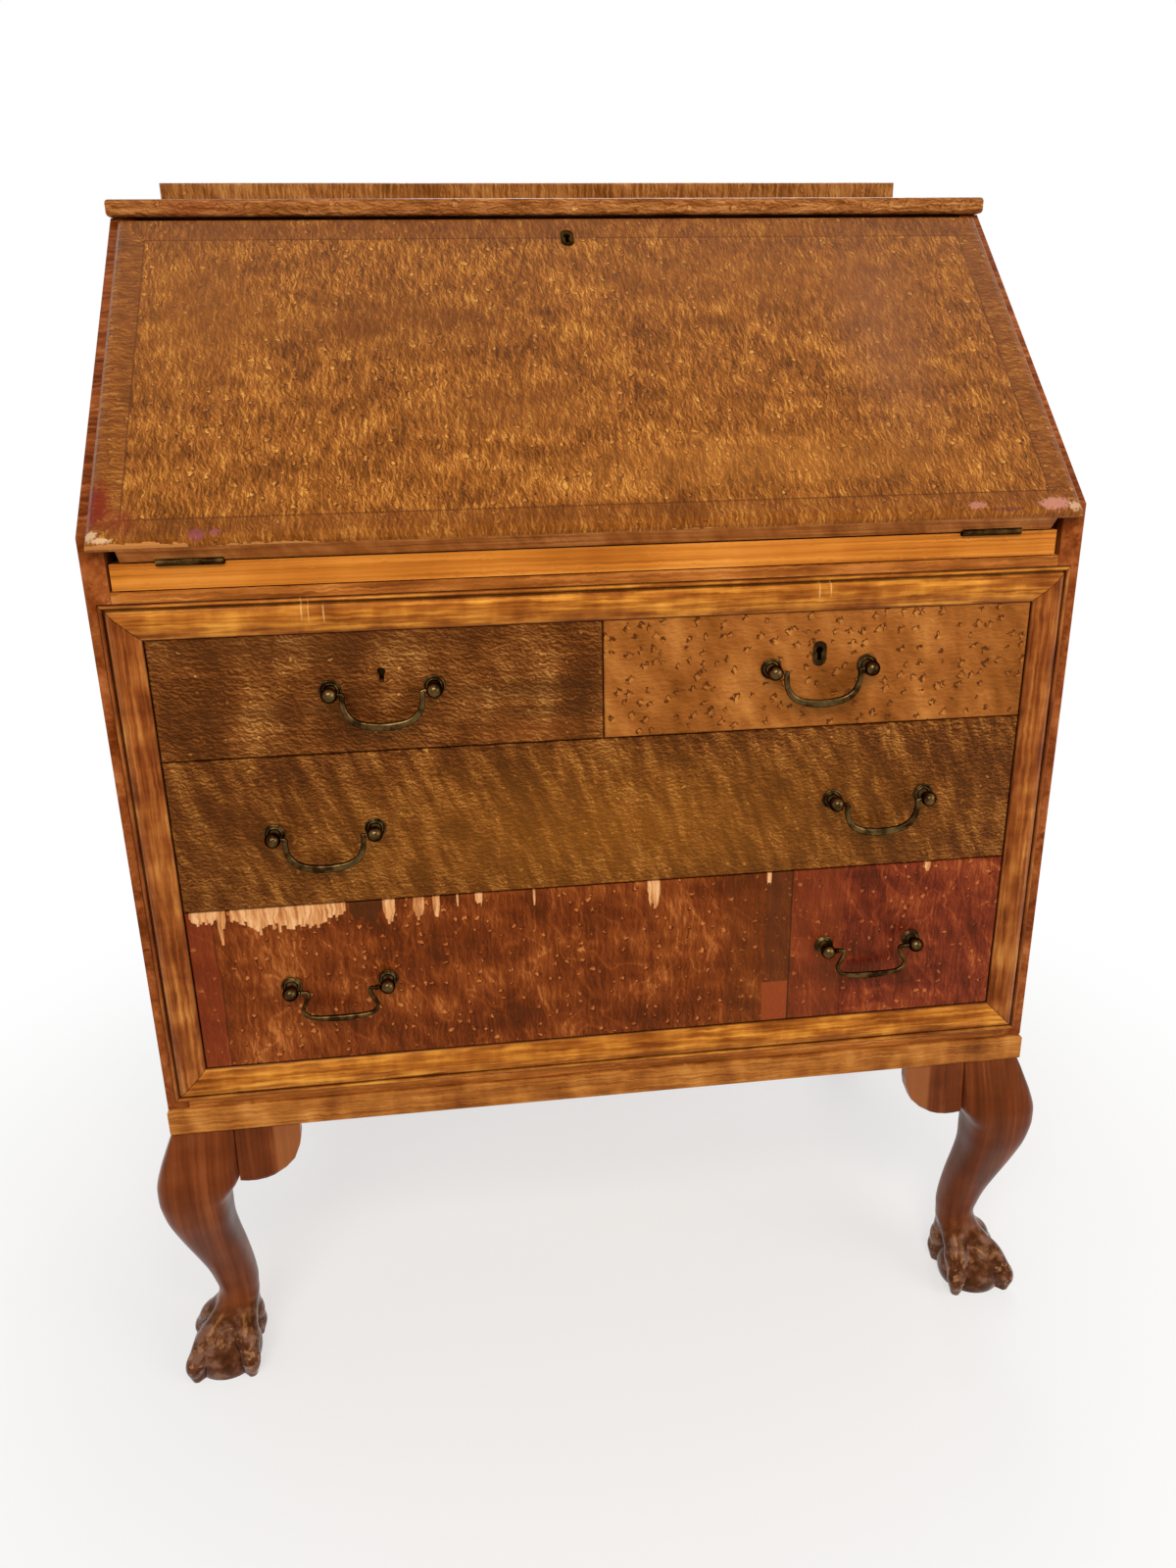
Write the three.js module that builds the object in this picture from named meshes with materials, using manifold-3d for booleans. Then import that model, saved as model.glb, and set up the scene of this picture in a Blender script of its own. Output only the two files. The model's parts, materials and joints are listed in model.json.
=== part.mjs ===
// Slant-front writing desk: a case of four drawers with a sloping fall, on a stand with four cabriole legs that
// end in ball-and-claw feet. The fall turns down on two hinges and is held level by a stay at each end.
// Millimetres. X runs to the right, Y to the back and Z up from the floor. The case's front face is at Y = 0
// while the pieces are laid out, and the finished group is moved so that its box stands centred on the origin.

import * as THREE from "three";
import { mergeVertices } from "three/addons/utils/BufferGeometryUtils.js";
import Module from "manifold-3d";

const wasm = await Module();
wasm.setup();

// Case
const caseWidth = 762;
const caseDepth = 452;
const sideThickness = 17.5;
const backThickness = 8;
const backRebate = 8.4;
const bottomThickness = 18;
const jointGap = 0.3;
const overrun = 4;
const weld = 0.001;

// Stand
const legHeight = 263;
const legBlock = 52;
const legSides = 16;
const plinthHeight = 24;
const plinthRail = 24;
const plinthProjection = 4;
const plinthOverhang = 0.5;
const plinthArris = 1.5;

// Front of the case, from the plinth upwards
const lowerStrip = 7.4;
const railDepth = 20;
const mouldingWidth = 28;
const mouldingRebate = 6;
const frameInset = 7;
const lowerDrawerHeight = 145.2;
const middleDrawerHeight = 127.8;
const upperDrawerHeight = 95.8;
const upperStrip = 8.7;
const bedShadowGap = 0.8;
const bedThickness = 19.3;
const bedSetback = 0.8;
const bedEndGapLeft = 2;
const bedEndGapRight = 4;
const cornerRise = 19.5;
const slopeRun = 248.434;
const slopeRise = 229.3;

// Top board and the low gallery along its back
const topThickness = 13.6;
const topSideOverhang = 1.5;
const topBackOverhang = 5;
const topArris = 3;
const topReveal = 4.4;
const galleryInset = 7;
const galleryHeight = 37.6;
const galleryThickness = 14.3;
const galleryArris = 3;
const galleryHousing = 2;

// Fall
const fallThickness = 20.8;
const fallLipInset = 7.5;
const fallEndClearance = 10.5;
const fallLowerGap = 0.5;
const fallTopClearance = 0.6;
const fallArris = 7;

// Hinges
const hingeInset = 77;
const leafLength = 48;
const leafDepth = 17;
const leafThickness = 1.6;
const pivotForward = 1.2;
const pivotRise = 0.6;
const knuckleRadius = 2.8;
const endKnuckle = 15;
const hingePinRadius = 1.2;
const knuckleSides = 12;

// Stays
const stayPivotBack = 15;
const stayPivotRise = 20;
const stayOpenReach = 120;
const stayStudDepth = 6.6;
const stayWidth = 11;
const stayThickness = 2;
const stayBoss = 0.6;
const stayStudRadius = 3;
const staySides = 12;

// Drawers
const frontThickness = 18;
const frontSetback = 2;
const frontArris = 0.9;
const frontGap = 1.2;
const frontSideGap = 0.8;
const dividerOffset = -3.2;
const dividerThickness = 14;
const dustboardThickness = 14;
const dustboardBackGap = 7.6;
const guideHeight = 14;
const guideGap = 0.8;
const boxWall = 9;
const boxFloor = 6;
const boxBackGap = 23.6;
const boxRunGap = 0.6;
const boxHeadroom = 12;
const boxSideGap = 1;

// Handles
const postSpacing = 79;
const rosetteRadius = 8.5;
const rosetteHeight = 2.6;
const stemRadius = 3;
const ballRadius = 6.3;
const ballStandOff = 13;
const postSides = 10;
const socketSides = 8;
const socketDepth = 5;
const bailPinRadius = 1.9;
const bailLegRadius = 2.4;
const bailMidRadius = 3.1;
const bailElbowInset = 9.5;
const bailDrop = 28;
const bailSteps = 22;
const bailSides = 6;
const upperHandleRise = 2.8;
const wideHandleInset = 153;

// Locks
const lockWidth = 46;
const lockHeight = 34;
const lockDepth = 9;
const keyRadius = 3;
const keySlotWidth = 3.4;
const keySlotLength = 8;
const linerWidth = 11;
const linerHeight = 20;
const drawerKeyRise = 16;
const fallKeyInset = 26;
const keySides = 12;

// Pigeonholes
const pigeonholeTopGap = 12.5;
const pigeonholeSetback = 31;
const pigeonholeWall = 6;
const pigeonholeEndGap = 3.5;
const lowerCompartmentHeight = 62;
const lowerCompartments = 3;
const upperCompartments = 5;

// Ball-and-claw foot
const footShift = 10.5;
const ankleShift = -3;
const footBallRadius = 32;
const footBallRise = 12;
const toeSteps = 8;
const toeSides = 7;

// Knee ears
const earLength = 55;
const earDepth = 54;
const earThickness = 11;
const earBulge = 4.5;

// Levels worked out from the sizes above
const caseBottom = legHeight + plinthHeight;
const frameBottom = caseBottom + lowerStrip;
const openingBottom = frameBottom + mouldingWidth;
const lowerSplit = openingBottom + lowerDrawerHeight;
const upperSplit = lowerSplit + middleDrawerHeight;
const openingTop = upperSplit + upperDrawerHeight;
const frameTop = openingTop + mouldingWidth;
const railTop = frameTop + upperStrip;
const bedBottom = railTop + bedShadowGap;
const bedTop = bedBottom + bedThickness;
const cornerLevel = bedTop + cornerRise;
const caseTop = cornerLevel + slopeRise;
const topBottom = caseTop + jointGap;
const topTop = topBottom + topThickness;

const halfCase = caseWidth / 2;
const halfInside = halfCase - sideThickness;
const halfFrame = halfCase - frameInset;
const halfOpening = halfFrame - mouldingWidth;
const hingeOffset = halfCase - hingeInset;
const wideHandleOffset = halfCase - wideHandleInset;
const insideBack = caseDepth - backRebate;
const dustboardBack = insideBack - dustboardBackGap;
const boxBack = insideBack - boxBackGap;

// The fall's own axes start at its pivot: X along the hinge, Y up the slope and Z out of the slope.
const slopeAngle = Math.atan2(slopeRise, slopeRun);
const slopeCos = Math.cos(slopeAngle);
const slopeSin = Math.sin(slopeAngle);
const pivotY = -pivotForward;
const pivotZ = bedTop + pivotRise;
const fallInner = pivotRise;
const fallOuter = fallInner + fallThickness;
const slopeOffset = (cornerLevel - pivotZ) * slopeCos - pivotForward * slopeSin;
const lipInner = slopeOffset + jointGap;
const fallEnd = (topBottom - fallTopClearance - pivotZ - fallOuter * slopeCos) / slopeSin;
const topFront = pivotY + fallEnd * slopeCos - fallOuter * slopeSin + topReveal;

// Finishes
const finishes = {
  sideWood: { color: 0x9a5c2c, roughness: 0.38, metalness: 0 },
  fallVeneer: { color: 0x9c6228, roughness: 0.34, metalness: 0 },
  mouldingWood: { color: 0xa8602c, roughness: 0.36, metalness: 0 },
  bedWood: { color: 0xc07c3a, roughness: 0.5, metalness: 0 },
  drawerDark: { color: 0x6f3f1c, roughness: 0.36, metalness: 0 },
  drawerLight: { color: 0xa5622c, roughness: 0.36, metalness: 0 },
  drawerMottled: { color: 0x7a4c1c, roughness: 0.36, metalness: 0 },
  drawerRed: { color: 0x80381c, roughness: 0.36, metalness: 0 },
  legWood: { color: 0x8a4a26, roughness: 0.34, metalness: 0 },
  insideWood: { color: 0xb98a54, roughness: 0.7, metalness: 0 },
  brass: { color: 0x6b5a38, roughness: 0.35, metalness: 1 },
  steel: { color: 0x4a4a4c, roughness: 0.5, metalness: 1 },
};

const desk = new THREE.Group();

function addPiece(parent, name, shape, finish) {
  const geometry = shape instanceof THREE.BufferGeometry ? shape : geometryOf(shape);
  const mesh = new THREE.Mesh(geometry, new THREE.MeshStandardMaterial(finishes[finish]));
  mesh.name = name;
  parent.add(mesh);
  return mesh;
}

// Joining and cutting
function solidOf(geometry) {
  const bare = geometry.clone();
  bare.deleteAttribute("normal");
  bare.deleteAttribute("uv");
  const merged = mergeVertices(bare, weld);
  return new wasm.Manifold(
    new wasm.Mesh({
      numProp: 3,
      vertProperties: merged.attributes.position.array,
      triVerts: new Uint32Array(merged.index.array),
    }),
  );
}

function geometryOf(solid) {
  const mesh = solid.getMesh();
  const indexed = new THREE.BufferGeometry();
  indexed.setAttribute("position", new THREE.BufferAttribute(mesh.vertProperties, 3));
  indexed.setIndex(new THREE.BufferAttribute(mesh.triVerts, 1));
  const flat = indexed.toNonIndexed();
  flat.computeVertexNormals();
  return flat;
}

function cut(geometry, tools) {
  return tools.reduce((body, tool) => body.subtract(solidOf(tool)), solidOf(geometry));
}

function join(geometries) {
  return geometries.map(solidOf).reduce((body, piece) => body.add(piece));
}

// Basic shapes, each placed by the ranges that it fills
function block([x0, x1], [y0, y1], [z0, z1]) {
  const box = new THREE.BoxGeometry(x1 - x0, y1 - y0, z1 - z0);
  return box.translate((x0 + x1) / 2, (y0 + y1) / 2, (z0 + z1) / 2);
}

function outlineShape(points) {
  return new THREE.Shape(points.map(([a, b]) => new THREE.Vector2(a, b)));
}

function prism(shape, depth, axes) {
  const solid = new THREE.ExtrudeGeometry(shape, { depth, bevelEnabled: false, curveSegments: keySides / 2 });
  return solid.applyMatrix4(new THREE.Matrix4().makeBasis(...axes));
}

const unitX = new THREE.Vector3(1, 0, 0);
const unitY = new THREE.Vector3(0, 1, 0);
const unitZ = new THREE.Vector3(0, 0, 1);

// An outline of (Y, Z) points drawn along X
function prismAlongX(points, [x0, x1]) {
  return prism(outlineShape(points), x1 - x0, [unitY, unitZ, unitX]).translate(x0, 0, 0);
}

// A shape in (X, Z) drawn along Y
function prismAlongY(shape, [y0, y1]) {
  return prism(shape, y1 - y0, [unitX, unitZ, unitY.clone().negate()]).translate(0, y1, 0);
}

// A slab in X and Y whose outer arrises are rounded all the way round
function roundedSlab([x0, x1], [y0, y1], [z0, z1], radius, segments) {
  const outline = outlineShape([
    [x0 + radius, y0 + radius],
    [x1 - radius, y0 + radius],
    [x1 - radius, y1 - radius],
    [x0 + radius, y1 - radius],
  ]);
  const solid = new THREE.ExtrudeGeometry(outline, {
    depth: z1 - z0 - radius * 2,
    bevelThickness: radius,
    bevelSize: radius,
    bevelSegments: segments,
  });
  return solid.translate(0, 0, z0 + radius);
}

function cylinderAlongX(radius, [x0, x1], y, z, sides) {
  const cylinder = new THREE.CylinderGeometry(radius, radius, x1 - x0, sides);
  return cylinder.rotateZ(Math.PI / 2).translate((x0 + x1) / 2, y, z);
}

// A closed skin through rings of points that turn anticlockwise as seen from the last ring
function loft(rings) {
  const count = rings[0].length;
  const corners = rings.flat();
  const centre = (ring) => ring.reduce((sum, p) => sum.add(p), new THREE.Vector3()).divideScalar(count);
  corners.push(centre(rings[0]), centre(rings[rings.length - 1]));
  const index = [];
  for (let i = 0; i < count; i++) {
    const next = (i + 1) % count;
    for (let k = 0; k + 1 < rings.length; k++) {
      const low = k * count;
      const high = low + count;
      index.push(low + i, low + next, high + next, low + i, high + next, high + i);
    }
    const last = (rings.length - 1) * count;
    index.push(next, i, corners.length - 2, last + i, last + next, corners.length - 1);
  }
  const skin = new THREE.BufferGeometry().setFromPoints(corners);
  return skin.setIndex(index);
}

// A round bar that follows points, with a radius at each of them
function taperedBar(points, radii, steps, sides) {
  const path = new THREE.CatmullRomCurve3(points);
  const frames = path.computeFrenetFrames(steps);
  const rings = [];
  for (let k = 0; k <= steps; k++) {
    const place = (k / steps) * (points.length - 1);
    const span = Math.min(Math.floor(place), points.length - 2);
    const radius = THREE.MathUtils.lerp(radii[span], radii[span + 1], place - span);
    const centre = path.getPoint(k / steps);
    rings.push(
      Array.from({ length: sides }, (_, i) => {
        const turn = (i / sides) * Math.PI * 2;
        return centre
          .clone()
          .addScaledVector(frames.normals[k], Math.cos(turn) * radius)
          .addScaledVector(frames.binormals[k], Math.sin(turn) * radius);
      }),
    );
  }
  return loft(rings);
}

// Case sides: upright boards with the sloping front edge, rebated for the back and for the frame moulding
function buildSide(sign) {
  const outline = [
    [0, caseBottom + jointGap],
    [caseDepth, caseBottom + jointGap],
    [caseDepth, caseTop],
    [slopeRun, caseTop],
    [0, cornerLevel],
  ];
  const range = sign > 0 ? [halfInside, halfCase] : [-halfCase, -halfInside];
  const board = prismAlongX(outline, range);
  const backWidth = halfInside + backRebate;
  const frameHalf = halfFrame + jointGap;
  return cut(board, [
    block([-backWidth, backWidth], [insideBack, caseDepth + overrun], [0, caseTop + overrun]),
    block([-frameHalf, frameHalf], [-overrun, mouldingRebate], [frameBottom - jointGap, frameTop + jointGap]),
  ]);
}

function buildCase() {
  const carcase = new THREE.Group();
  const inside = halfInside - jointGap;
  addPiece(carcase, "side_left", buildSide(-1), "sideWood");
  addPiece(carcase, "side_right", buildSide(1), "sideWood");

  const backHalf = halfInside + backRebate - jointGap;
  const backFront = insideBack + jointGap;
  addPiece(
    carcase,
    "back_panel",
    block([-backHalf, backHalf], [backFront, backFront + backThickness - jointGap], [caseBottom + jointGap, caseTop]),
    "insideWood",
  );

  const bottomTop = openingBottom - jointGap;
  const guides = guideBars(bottomTop);
  const bottom = block([-inside, inside], [railDepth + jointGap, insideBack], [bottomTop - bottomThickness, bottomTop]);
  addPiece(carcase, "bottom_board", join([bottom, ...guides]), "insideWood");

  const lowerRail = block([-inside, inside], [0, railDepth], [caseBottom + jointGap, bottomTop]);
  const lowerRebate = block([-halfCase, halfCase], [-overrun, mouldingRebate], [frameBottom - jointGap, caseTop]);
  addPiece(carcase, "lower_rail", cut(lowerRail, [lowerRebate]), "mouldingWood");

  const upperRail = block([-inside, inside], [0, railDepth], [openingTop + jointGap, railTop]);
  const upperRebate = block([-halfCase, halfCase], [-overrun, mouldingRebate], [caseBottom, frameTop + jointGap]);
  addPiece(carcase, "upper_rail", cut(upperRail, [upperRebate]), "mouldingWood");

  addPiece(carcase, "bed_board", buildBed(), "bedWood");
  addPiece(carcase, "dustboard_middle", buildDustboard(lowerSplit), "insideWood");
  addPiece(carcase, "dustboard_upper", buildDustboard(upperSplit), "insideWood");
  addPiece(
    carcase,
    "drawer_divider",
    block(
      [dividerOffset - dividerThickness / 2, dividerOffset + dividerThickness / 2],
      [railDepth + jointGap, dustboardBack],
      [upperSplit + dustboardThickness / 2 + jointGap, bedBottom - jointGap],
    ),
    "insideWood",
  );
  return carcase;
}

// Bars at both sides that keep a drawer's box straight
function guideBars(level) {
  const ranges = [
    [halfOpening + guideGap, halfInside - jointGap],
    [jointGap - halfInside, -guideGap - halfOpening],
  ];
  const depth = [railDepth + jointGap, dustboardBack];
  return ranges.map((range) => block(range, depth, [level - boxFloor, level + guideHeight]));
}

function buildDustboard(split) {
  const top = split + dustboardThickness / 2;
  const inside = halfInside - jointGap;
  const front = frontSetback + frontThickness + boxSideGap;
  const board = block([-inside, inside], [front, dustboardBack], [top - dustboardThickness, top]);
  return join([board, ...guideBars(top)]);
}

// The bed is the writing level inside the case, let out for the hinges along its front edge.
function buildBed() {
  const bed = block(
    [bedEndGapLeft - halfInside, halfInside - bedEndGapRight],
    [bedSetback, insideBack],
    [bedBottom, bedTop],
  );
  const recesses = [-1, 1].flatMap((sign) => {
    const centre = sign * hingeOffset;
    const reach = leafLength / 2 + jointGap;
    const width = [centre - reach, centre + reach];
    return [
      block(width, [-overrun, leafDepth + jointGap], [bedTop - leafThickness - jointGap, bedTop + overrun]),
      cylinderAlongX(knuckleRadius + jointGap * 2, width, pivotY, pivotZ, knuckleSides),
    ];
  });
  return cut(bed, recesses);
}

// Frame moulding: a bead, a quirk and a broad cushion that falls towards the drawers, mitred at the corners.
// Across is measured from the outer edge inwards and out is measured forwards from the case's front face.
const mouldingAcrossShares = [0, 0.03, 0.08, 0.12, 0.13, 0.18, 0.2, 0.3, 0.42, 0.6, 0.78, 0.93, 1, 1];
const mouldingOutShares = [0.1, 0.32, 0.4, 0.2, -0.16, -0.16, 0.35, 0.62, 0.7, 0.58, 0.26, -0.12, -0.35, -1];

function buildMoulding(length) {
  const front = mouldingAcrossShares.map((share, i) => [
    share * mouldingWidth,
    mouldingOutShares[i] * mouldingRebate,
  ]);
  const back = jointGap - mouldingRebate;
  const section = [...front, [0, back]].map(([across, out]) => [across, Math.max(out, back)]);
  const bar = prism(outlineShape(section), length, [unitY, unitZ, unitX]).translate(-length / 2, 0, 0);
  const mitres = [-1, 1].map((sign) => {
    const tool = new THREE.Shape();
    const end = (sign * length) / 2;
    const past = sign * overrun;
    tool.moveTo(end - sign * jointGap, 0);
    tool.lineTo(end - sign * (jointGap + mouldingWidth), mouldingWidth);
    tool.lineTo(end - sign * (jointGap + mouldingWidth) - past, mouldingWidth + overrun);
    tool.lineTo(end + past, mouldingWidth + overrun);
    tool.lineTo(end + past, -overrun);
    tool.lineTo(end - sign * jointGap + past, -overrun);
    return new THREE.ExtrudeGeometry(tool, { depth: mouldingWidth * 2, bevelEnabled: false }).translate(
      0,
      0,
      -mouldingWidth,
    );
  });
  return geometryOf(cut(bar, mitres));
}

function buildFrame() {
  const frame = new THREE.Group();
  const width = halfFrame * 2;
  const height = frameTop - frameBottom;
  const middle = (frameTop + frameBottom) / 2;
  const members = [
    ["bottom", width, 0, frameBottom, 0],
    ["right", height, halfFrame, middle, Math.PI / 2],
    ["top", width, 0, frameTop, Math.PI],
    ["left", height, -halfFrame, middle, -Math.PI / 2],
  ];
  for (const [place, length, x, z, turn] of members) {
    const member = addPiece(frame, `frame_moulding_${place}`, buildMoulding(length), "mouldingWood");
    member.geometry.rotateX(Math.PI / 2);
    member.geometry.rotateY(-turn);
    member.position.set(x, 0, z);
  }
  return frame;
}

// Top board, and the gallery let into its back edge
function buildTop() {
  const top = new THREE.Group();
  const halfTop = halfCase + topSideOverhang;
  const back = caseDepth + topBackOverhang;
  const board = roundedSlab([-halfTop, halfTop], [topFront, back], [topBottom, topTop], topArris, 3);
  const half = halfCase - galleryInset;
  const housing = block(
    [-half - jointGap, half + jointGap],
    [back - galleryThickness - jointGap, back + overrun],
    [topTop - galleryHousing, topTop + overrun],
  );
  addPiece(top, "top_board", cut(board, [housing]), "sideWood");
  const rail = roundedSlab([-half, half], [0, galleryHeight], [0, galleryThickness], galleryArris, 2);
  rail.rotateX(Math.PI / 2);
  addPiece(top, "gallery", solidOf(rail), "fallVeneer").position.set(0, back, topTop - galleryHousing + jointGap);
  return top;
}

// Plinth: a mitred frame under the case with a block in each corner for a leg
function buildPlinth() {
  const half = halfCase + plinthOverhang;
  const outer = roundedSlab(
    [-half, half],
    [-plinthProjection, caseDepth],
    [legHeight, legHeight + plinthHeight],
    plinthArris,
    1,
  );
  const rail = halfCase - plinthRail;
  const corner = halfCase - legBlock;
  const rear = caseDepth - plinthRail;
  const rearCorner = caseDepth - legBlock;
  const opening = outlineShape([
    [-corner, plinthRail],
    [corner, plinthRail],
    [corner, legBlock],
    [rail, legBlock],
    [rail, rearCorner],
    [corner, rearCorner],
    [corner, rear],
    [-corner, rear],
    [-corner, rearCorner],
    [-rail, rearCorner],
    [-rail, legBlock],
    [-corner, legBlock],
  ]);
  const depth = plinthHeight + overrun * 2;
  const tool = new THREE.ExtrudeGeometry(opening, { depth, bevelEnabled: false });
  return cut(outer, [tool.translate(0, 0, legHeight - overrun)]);
}

// Cabriole leg. Each station gives its height as a share of the leg, how far the centre has moved out on both axes
// and the half width as shares of the block's width, and the power of the rounded square that is its section.
const legStationShares = [
  [0.091, 0.19, 0.35, 2],
  [0.167, 0.04, 0.375, 2.1],
  [0.228, -0.058, 0.375, 2.1],
  [0.281, -0.087, 0.352, 2.2],
  [0.335, -0.06, 0.363, 2.4],
  [0.395, -0.008, 0.381, 2.6],
  [0.464, 0.069, 0.41, 2.8],
  [0.532, 0.154, 0.438, 3],
  [0.601, 0.229, 0.473, 3.2],
  [0.665, 0.275, 0.521, 3.4],
  [0.715, 0.294, 0.546, 3.6],
  [0.749, 0.288, 0.573, 3.8],
  [0.779, 0.237, 0.627, 4.2],
  [0.81, 0.185, 0.673, 4.6],
  [0.867, 0.14, 0.637, 5.5],
  [0.932, 0.073, 0.573, 8],
  [1, 0, 0.5, 16],
];

function stationRing([height, shift, half, power]) {
  const centre = shift * legBlock;
  const arm = half * legBlock;
  const round = (value) => Math.sign(value) * Math.abs(value) ** (2 / power) * arm;
  return Array.from({ length: legSides }, (_, i) => {
    const turn = (i / legSides) * Math.PI * 2;
    const x = centre + round(Math.cos(turn));
    return new THREE.Vector3(x, round(Math.sin(turn)) - centre, height * (legHeight - jointGap));
  });
}

// A toe runs from the ankle over its knuckles and down the ball to its claw. Distances out, heights and radii are
// shares of the ball's radius, and the lean is how far the toes' middle has moved from the ankle to the ball.
const toeOutShares = [0.25, 0.56, 0.95, 1.1, 1.19, 1.24, 1.27];
const toeHeightShares = [1.82, 1.52, 1.13, 0.9, 0.66, 0.47, 0.33];
const toeRadiusShares = [0.34, 0.34, 0.33, 0.3, 0.25, 0.18, 0.09];
const toeLeanShares = [0, 0.2, 0.5, 0.75, 0.9, 1, 1];
const toeTurns = [-0.25, 0.25, 0.75, 1.25];

function buildFoot() {
  const ball = new THREE.SphereGeometry(footBallRadius, legSides, legSides / 2);
  ball.rotateX(Math.PI / 2).translate(footShift, -footShift, footBallRise);
  const toes = toeTurns.map((turn) => {
    const across = Math.cos(turn * Math.PI);
    const along = Math.sin(turn * Math.PI);
    const points = toeOutShares.map((share, i) => {
      const out = share * footBallRadius;
      const middle = THREE.MathUtils.lerp(ankleShift, footShift, toeLeanShares[i]);
      return new THREE.Vector3(
        middle + across * out,
        along * out - middle,
        toeHeightShares[i] * footBallRadius,
      );
    });
    const radii = toeRadiusShares.map((share) => share * footBallRadius);
    return taperedBar(points, radii, toeSteps, toeSides);
  });
  return [ball, ...toes];
}

// Knee ear: a shaped bracket glued to the leg block. Its face swells a little towards the knee, and its lower edge
// runs along the block and rises round a lobe.
const earPlaceShares = [0, 0.12, 0.25, 0.4, 0.52, 0.72, 0.87, 0.97, 1];
const earDepthShares = [0.965, 0.99, 1, 0.985, 0.95, 0.83, 0.68, 0.43, 0.25];
const earFaceShares = [0, 0.25, 0.5, 0.75, 0.95, 1];

function buildEar() {
  const top = legHeight - jointGap;
  const face = legBlock / 2;
  const rear = earThickness - face;
  const rings = earPlaceShares.map((place, i) => {
    const x = -face - jointGap - place * earLength;
    const depth = earDepthShares[i] * earDepth;
    const front = earFaceShares.map((share) => {
      const swell = earBulge * share * (1 - place);
      const ease = share === 1 ? plinthArris : 0;
      return new THREE.Vector3(x, ease - face - swell, top - share * depth);
    });
    return [new THREE.Vector3(x, rear, top), new THREE.Vector3(x, rear, top - depth), ...front.reverse()];
  });
  return loft(rings);
}

// The same piece seen in the leg's diagonal, so that it lies on the block's other inner face
function acrossDiagonal(geometry) {
  const flipped = geometry.clone();
  flipped.applyMatrix4(new THREE.Matrix4().makeBasis(unitY.clone().negate(), unitX.clone().negate(), unitZ));
  const index = Array.from(flipped.index.array);
  for (let i = 0; i < index.length; i += 3) {
    [index[i + 1], index[i + 2]] = [index[i + 2], index[i + 1]];
  }
  return flipped.setIndex(index);
}

function buildLeg(ear) {
  const shaft = loft(legStationShares.map(stationRing));
  const room = legHeight * 2;
  const below = block([-room, room], [-room, room], [-room, 0]);
  return join([shaft, ear, ...buildFoot()]).subtract(solidOf(below));
}

function buildStand() {
  const stand = new THREE.Group();
  addPiece(stand, "plinth", buildPlinth(), "mouldingWood");
  const ear = buildEar();
  const otherEar = acrossDiagonal(ear);
  const seat = jointGap + plinthArris;
  const fusedEar = ear.clone().translate(seat, 0, 0);
  const otherFusedEar = otherEar.clone().translate(0, -seat, 0);
  const x = halfCase + plinthOverhang - legBlock / 2;
  const front = legBlock / 2 - plinthOverhang;
  const rear = caseDepth - front;
  const legs = [
    ["leg_front_right", x, front, 0, otherFusedEar],
    ["leg_front_left", -x, front, -Math.PI / 2, fusedEar],
    ["leg_rear_left", -x, rear, Math.PI, otherFusedEar],
    ["leg_rear_right", x, rear, Math.PI / 2, fusedEar],
  ];
  for (const [name, legX, legY, turn, fused] of legs) {
    const leg = addPiece(stand, name, buildLeg(fused), "legWood");
    leg.position.set(legX, legY, 0);
    leg.rotation.z = turn;
  }
  const rightEar = addPiece(stand, "knee_ear_right", solidOf(ear), "legWood");
  rightEar.position.set(x, front, 0);
  const leftEar = addPiece(stand, "knee_ear_left", solidOf(otherEar), "legWood");
  leftEar.position.set(-x, front, 0);
  leftEar.rotation.z = -Math.PI / 2;
  return stand;
}

// Keyholes: a round hole with a slot below it, and the brass liner that is pressed in round it
function keyholeShape(grow) {
  const hole = new THREE.Shape();
  const radius = keyRadius + grow;
  const half = keySlotWidth / 2 + grow;
  const start = -Math.acos(half / radius);
  hole.moveTo(half, -keySlotLength - grow);
  hole.lineTo(half, Math.sin(start) * radius);
  hole.absarc(0, 0, radius, start, Math.PI - start, false);
  hole.lineTo(-half, -keySlotLength - grow);
  return hole;
}

function linerShape(grow) {
  const half = linerWidth / 2 + grow;
  const straight = linerHeight / 2 - linerWidth / 2;
  const low = -straight - keySlotLength / 3;
  const high = straight - keySlotLength / 3;
  const oval = new THREE.Shape();
  oval.absarc(0, high, half, 0, Math.PI, false);
  oval.absarc(0, low, half, Math.PI, Math.PI * 2, false);
  return oval;
}

// A lock case let into the back of a panel. Local Y runs from the panel's face into it.
function buildLock(panelThickness, lined) {
  const half = lockWidth / 2;
  const back = panelThickness;
  const body = block([-half, half], [back - lockDepth, back], [-lockHeight / 2, lockHeight / 2]);
  const pieces = [body];
  if (lined) {
    pieces.push(prismAlongY(linerShape(0), [jointGap, back - lockDepth + jointGap]));
  }
  const hole = prismAlongY(keyholeShape(0), [-overrun, back - lockDepth / 2]);
  return join(pieces).subtract(solidOf(hole));
}

function lockRoom(panelThickness, lined) {
  const half = lockWidth / 2 + jointGap;
  const tall = lockHeight / 2 + jointGap;
  const front = panelThickness - lockDepth - jointGap;
  const through = [-overrun, panelThickness];
  const hole = lined ? linerShape(jointGap) : keyholeShape(jointGap);
  return [
    block([-half, half], [front, panelThickness + overrun], [-tall, tall]),
    prismAlongY(hole, through),
  ];
}

// Handles: two turned posts and a bail whose pins turn in the posts' balls
const postRadiusShares = [1, 1, 0.84, 0.8, 0.5];
const postHeightShares = [0, 0.42, 0.6, 1, 1.5];
const ballAngles = [-60, -32, 0, 30, 60];

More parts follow.
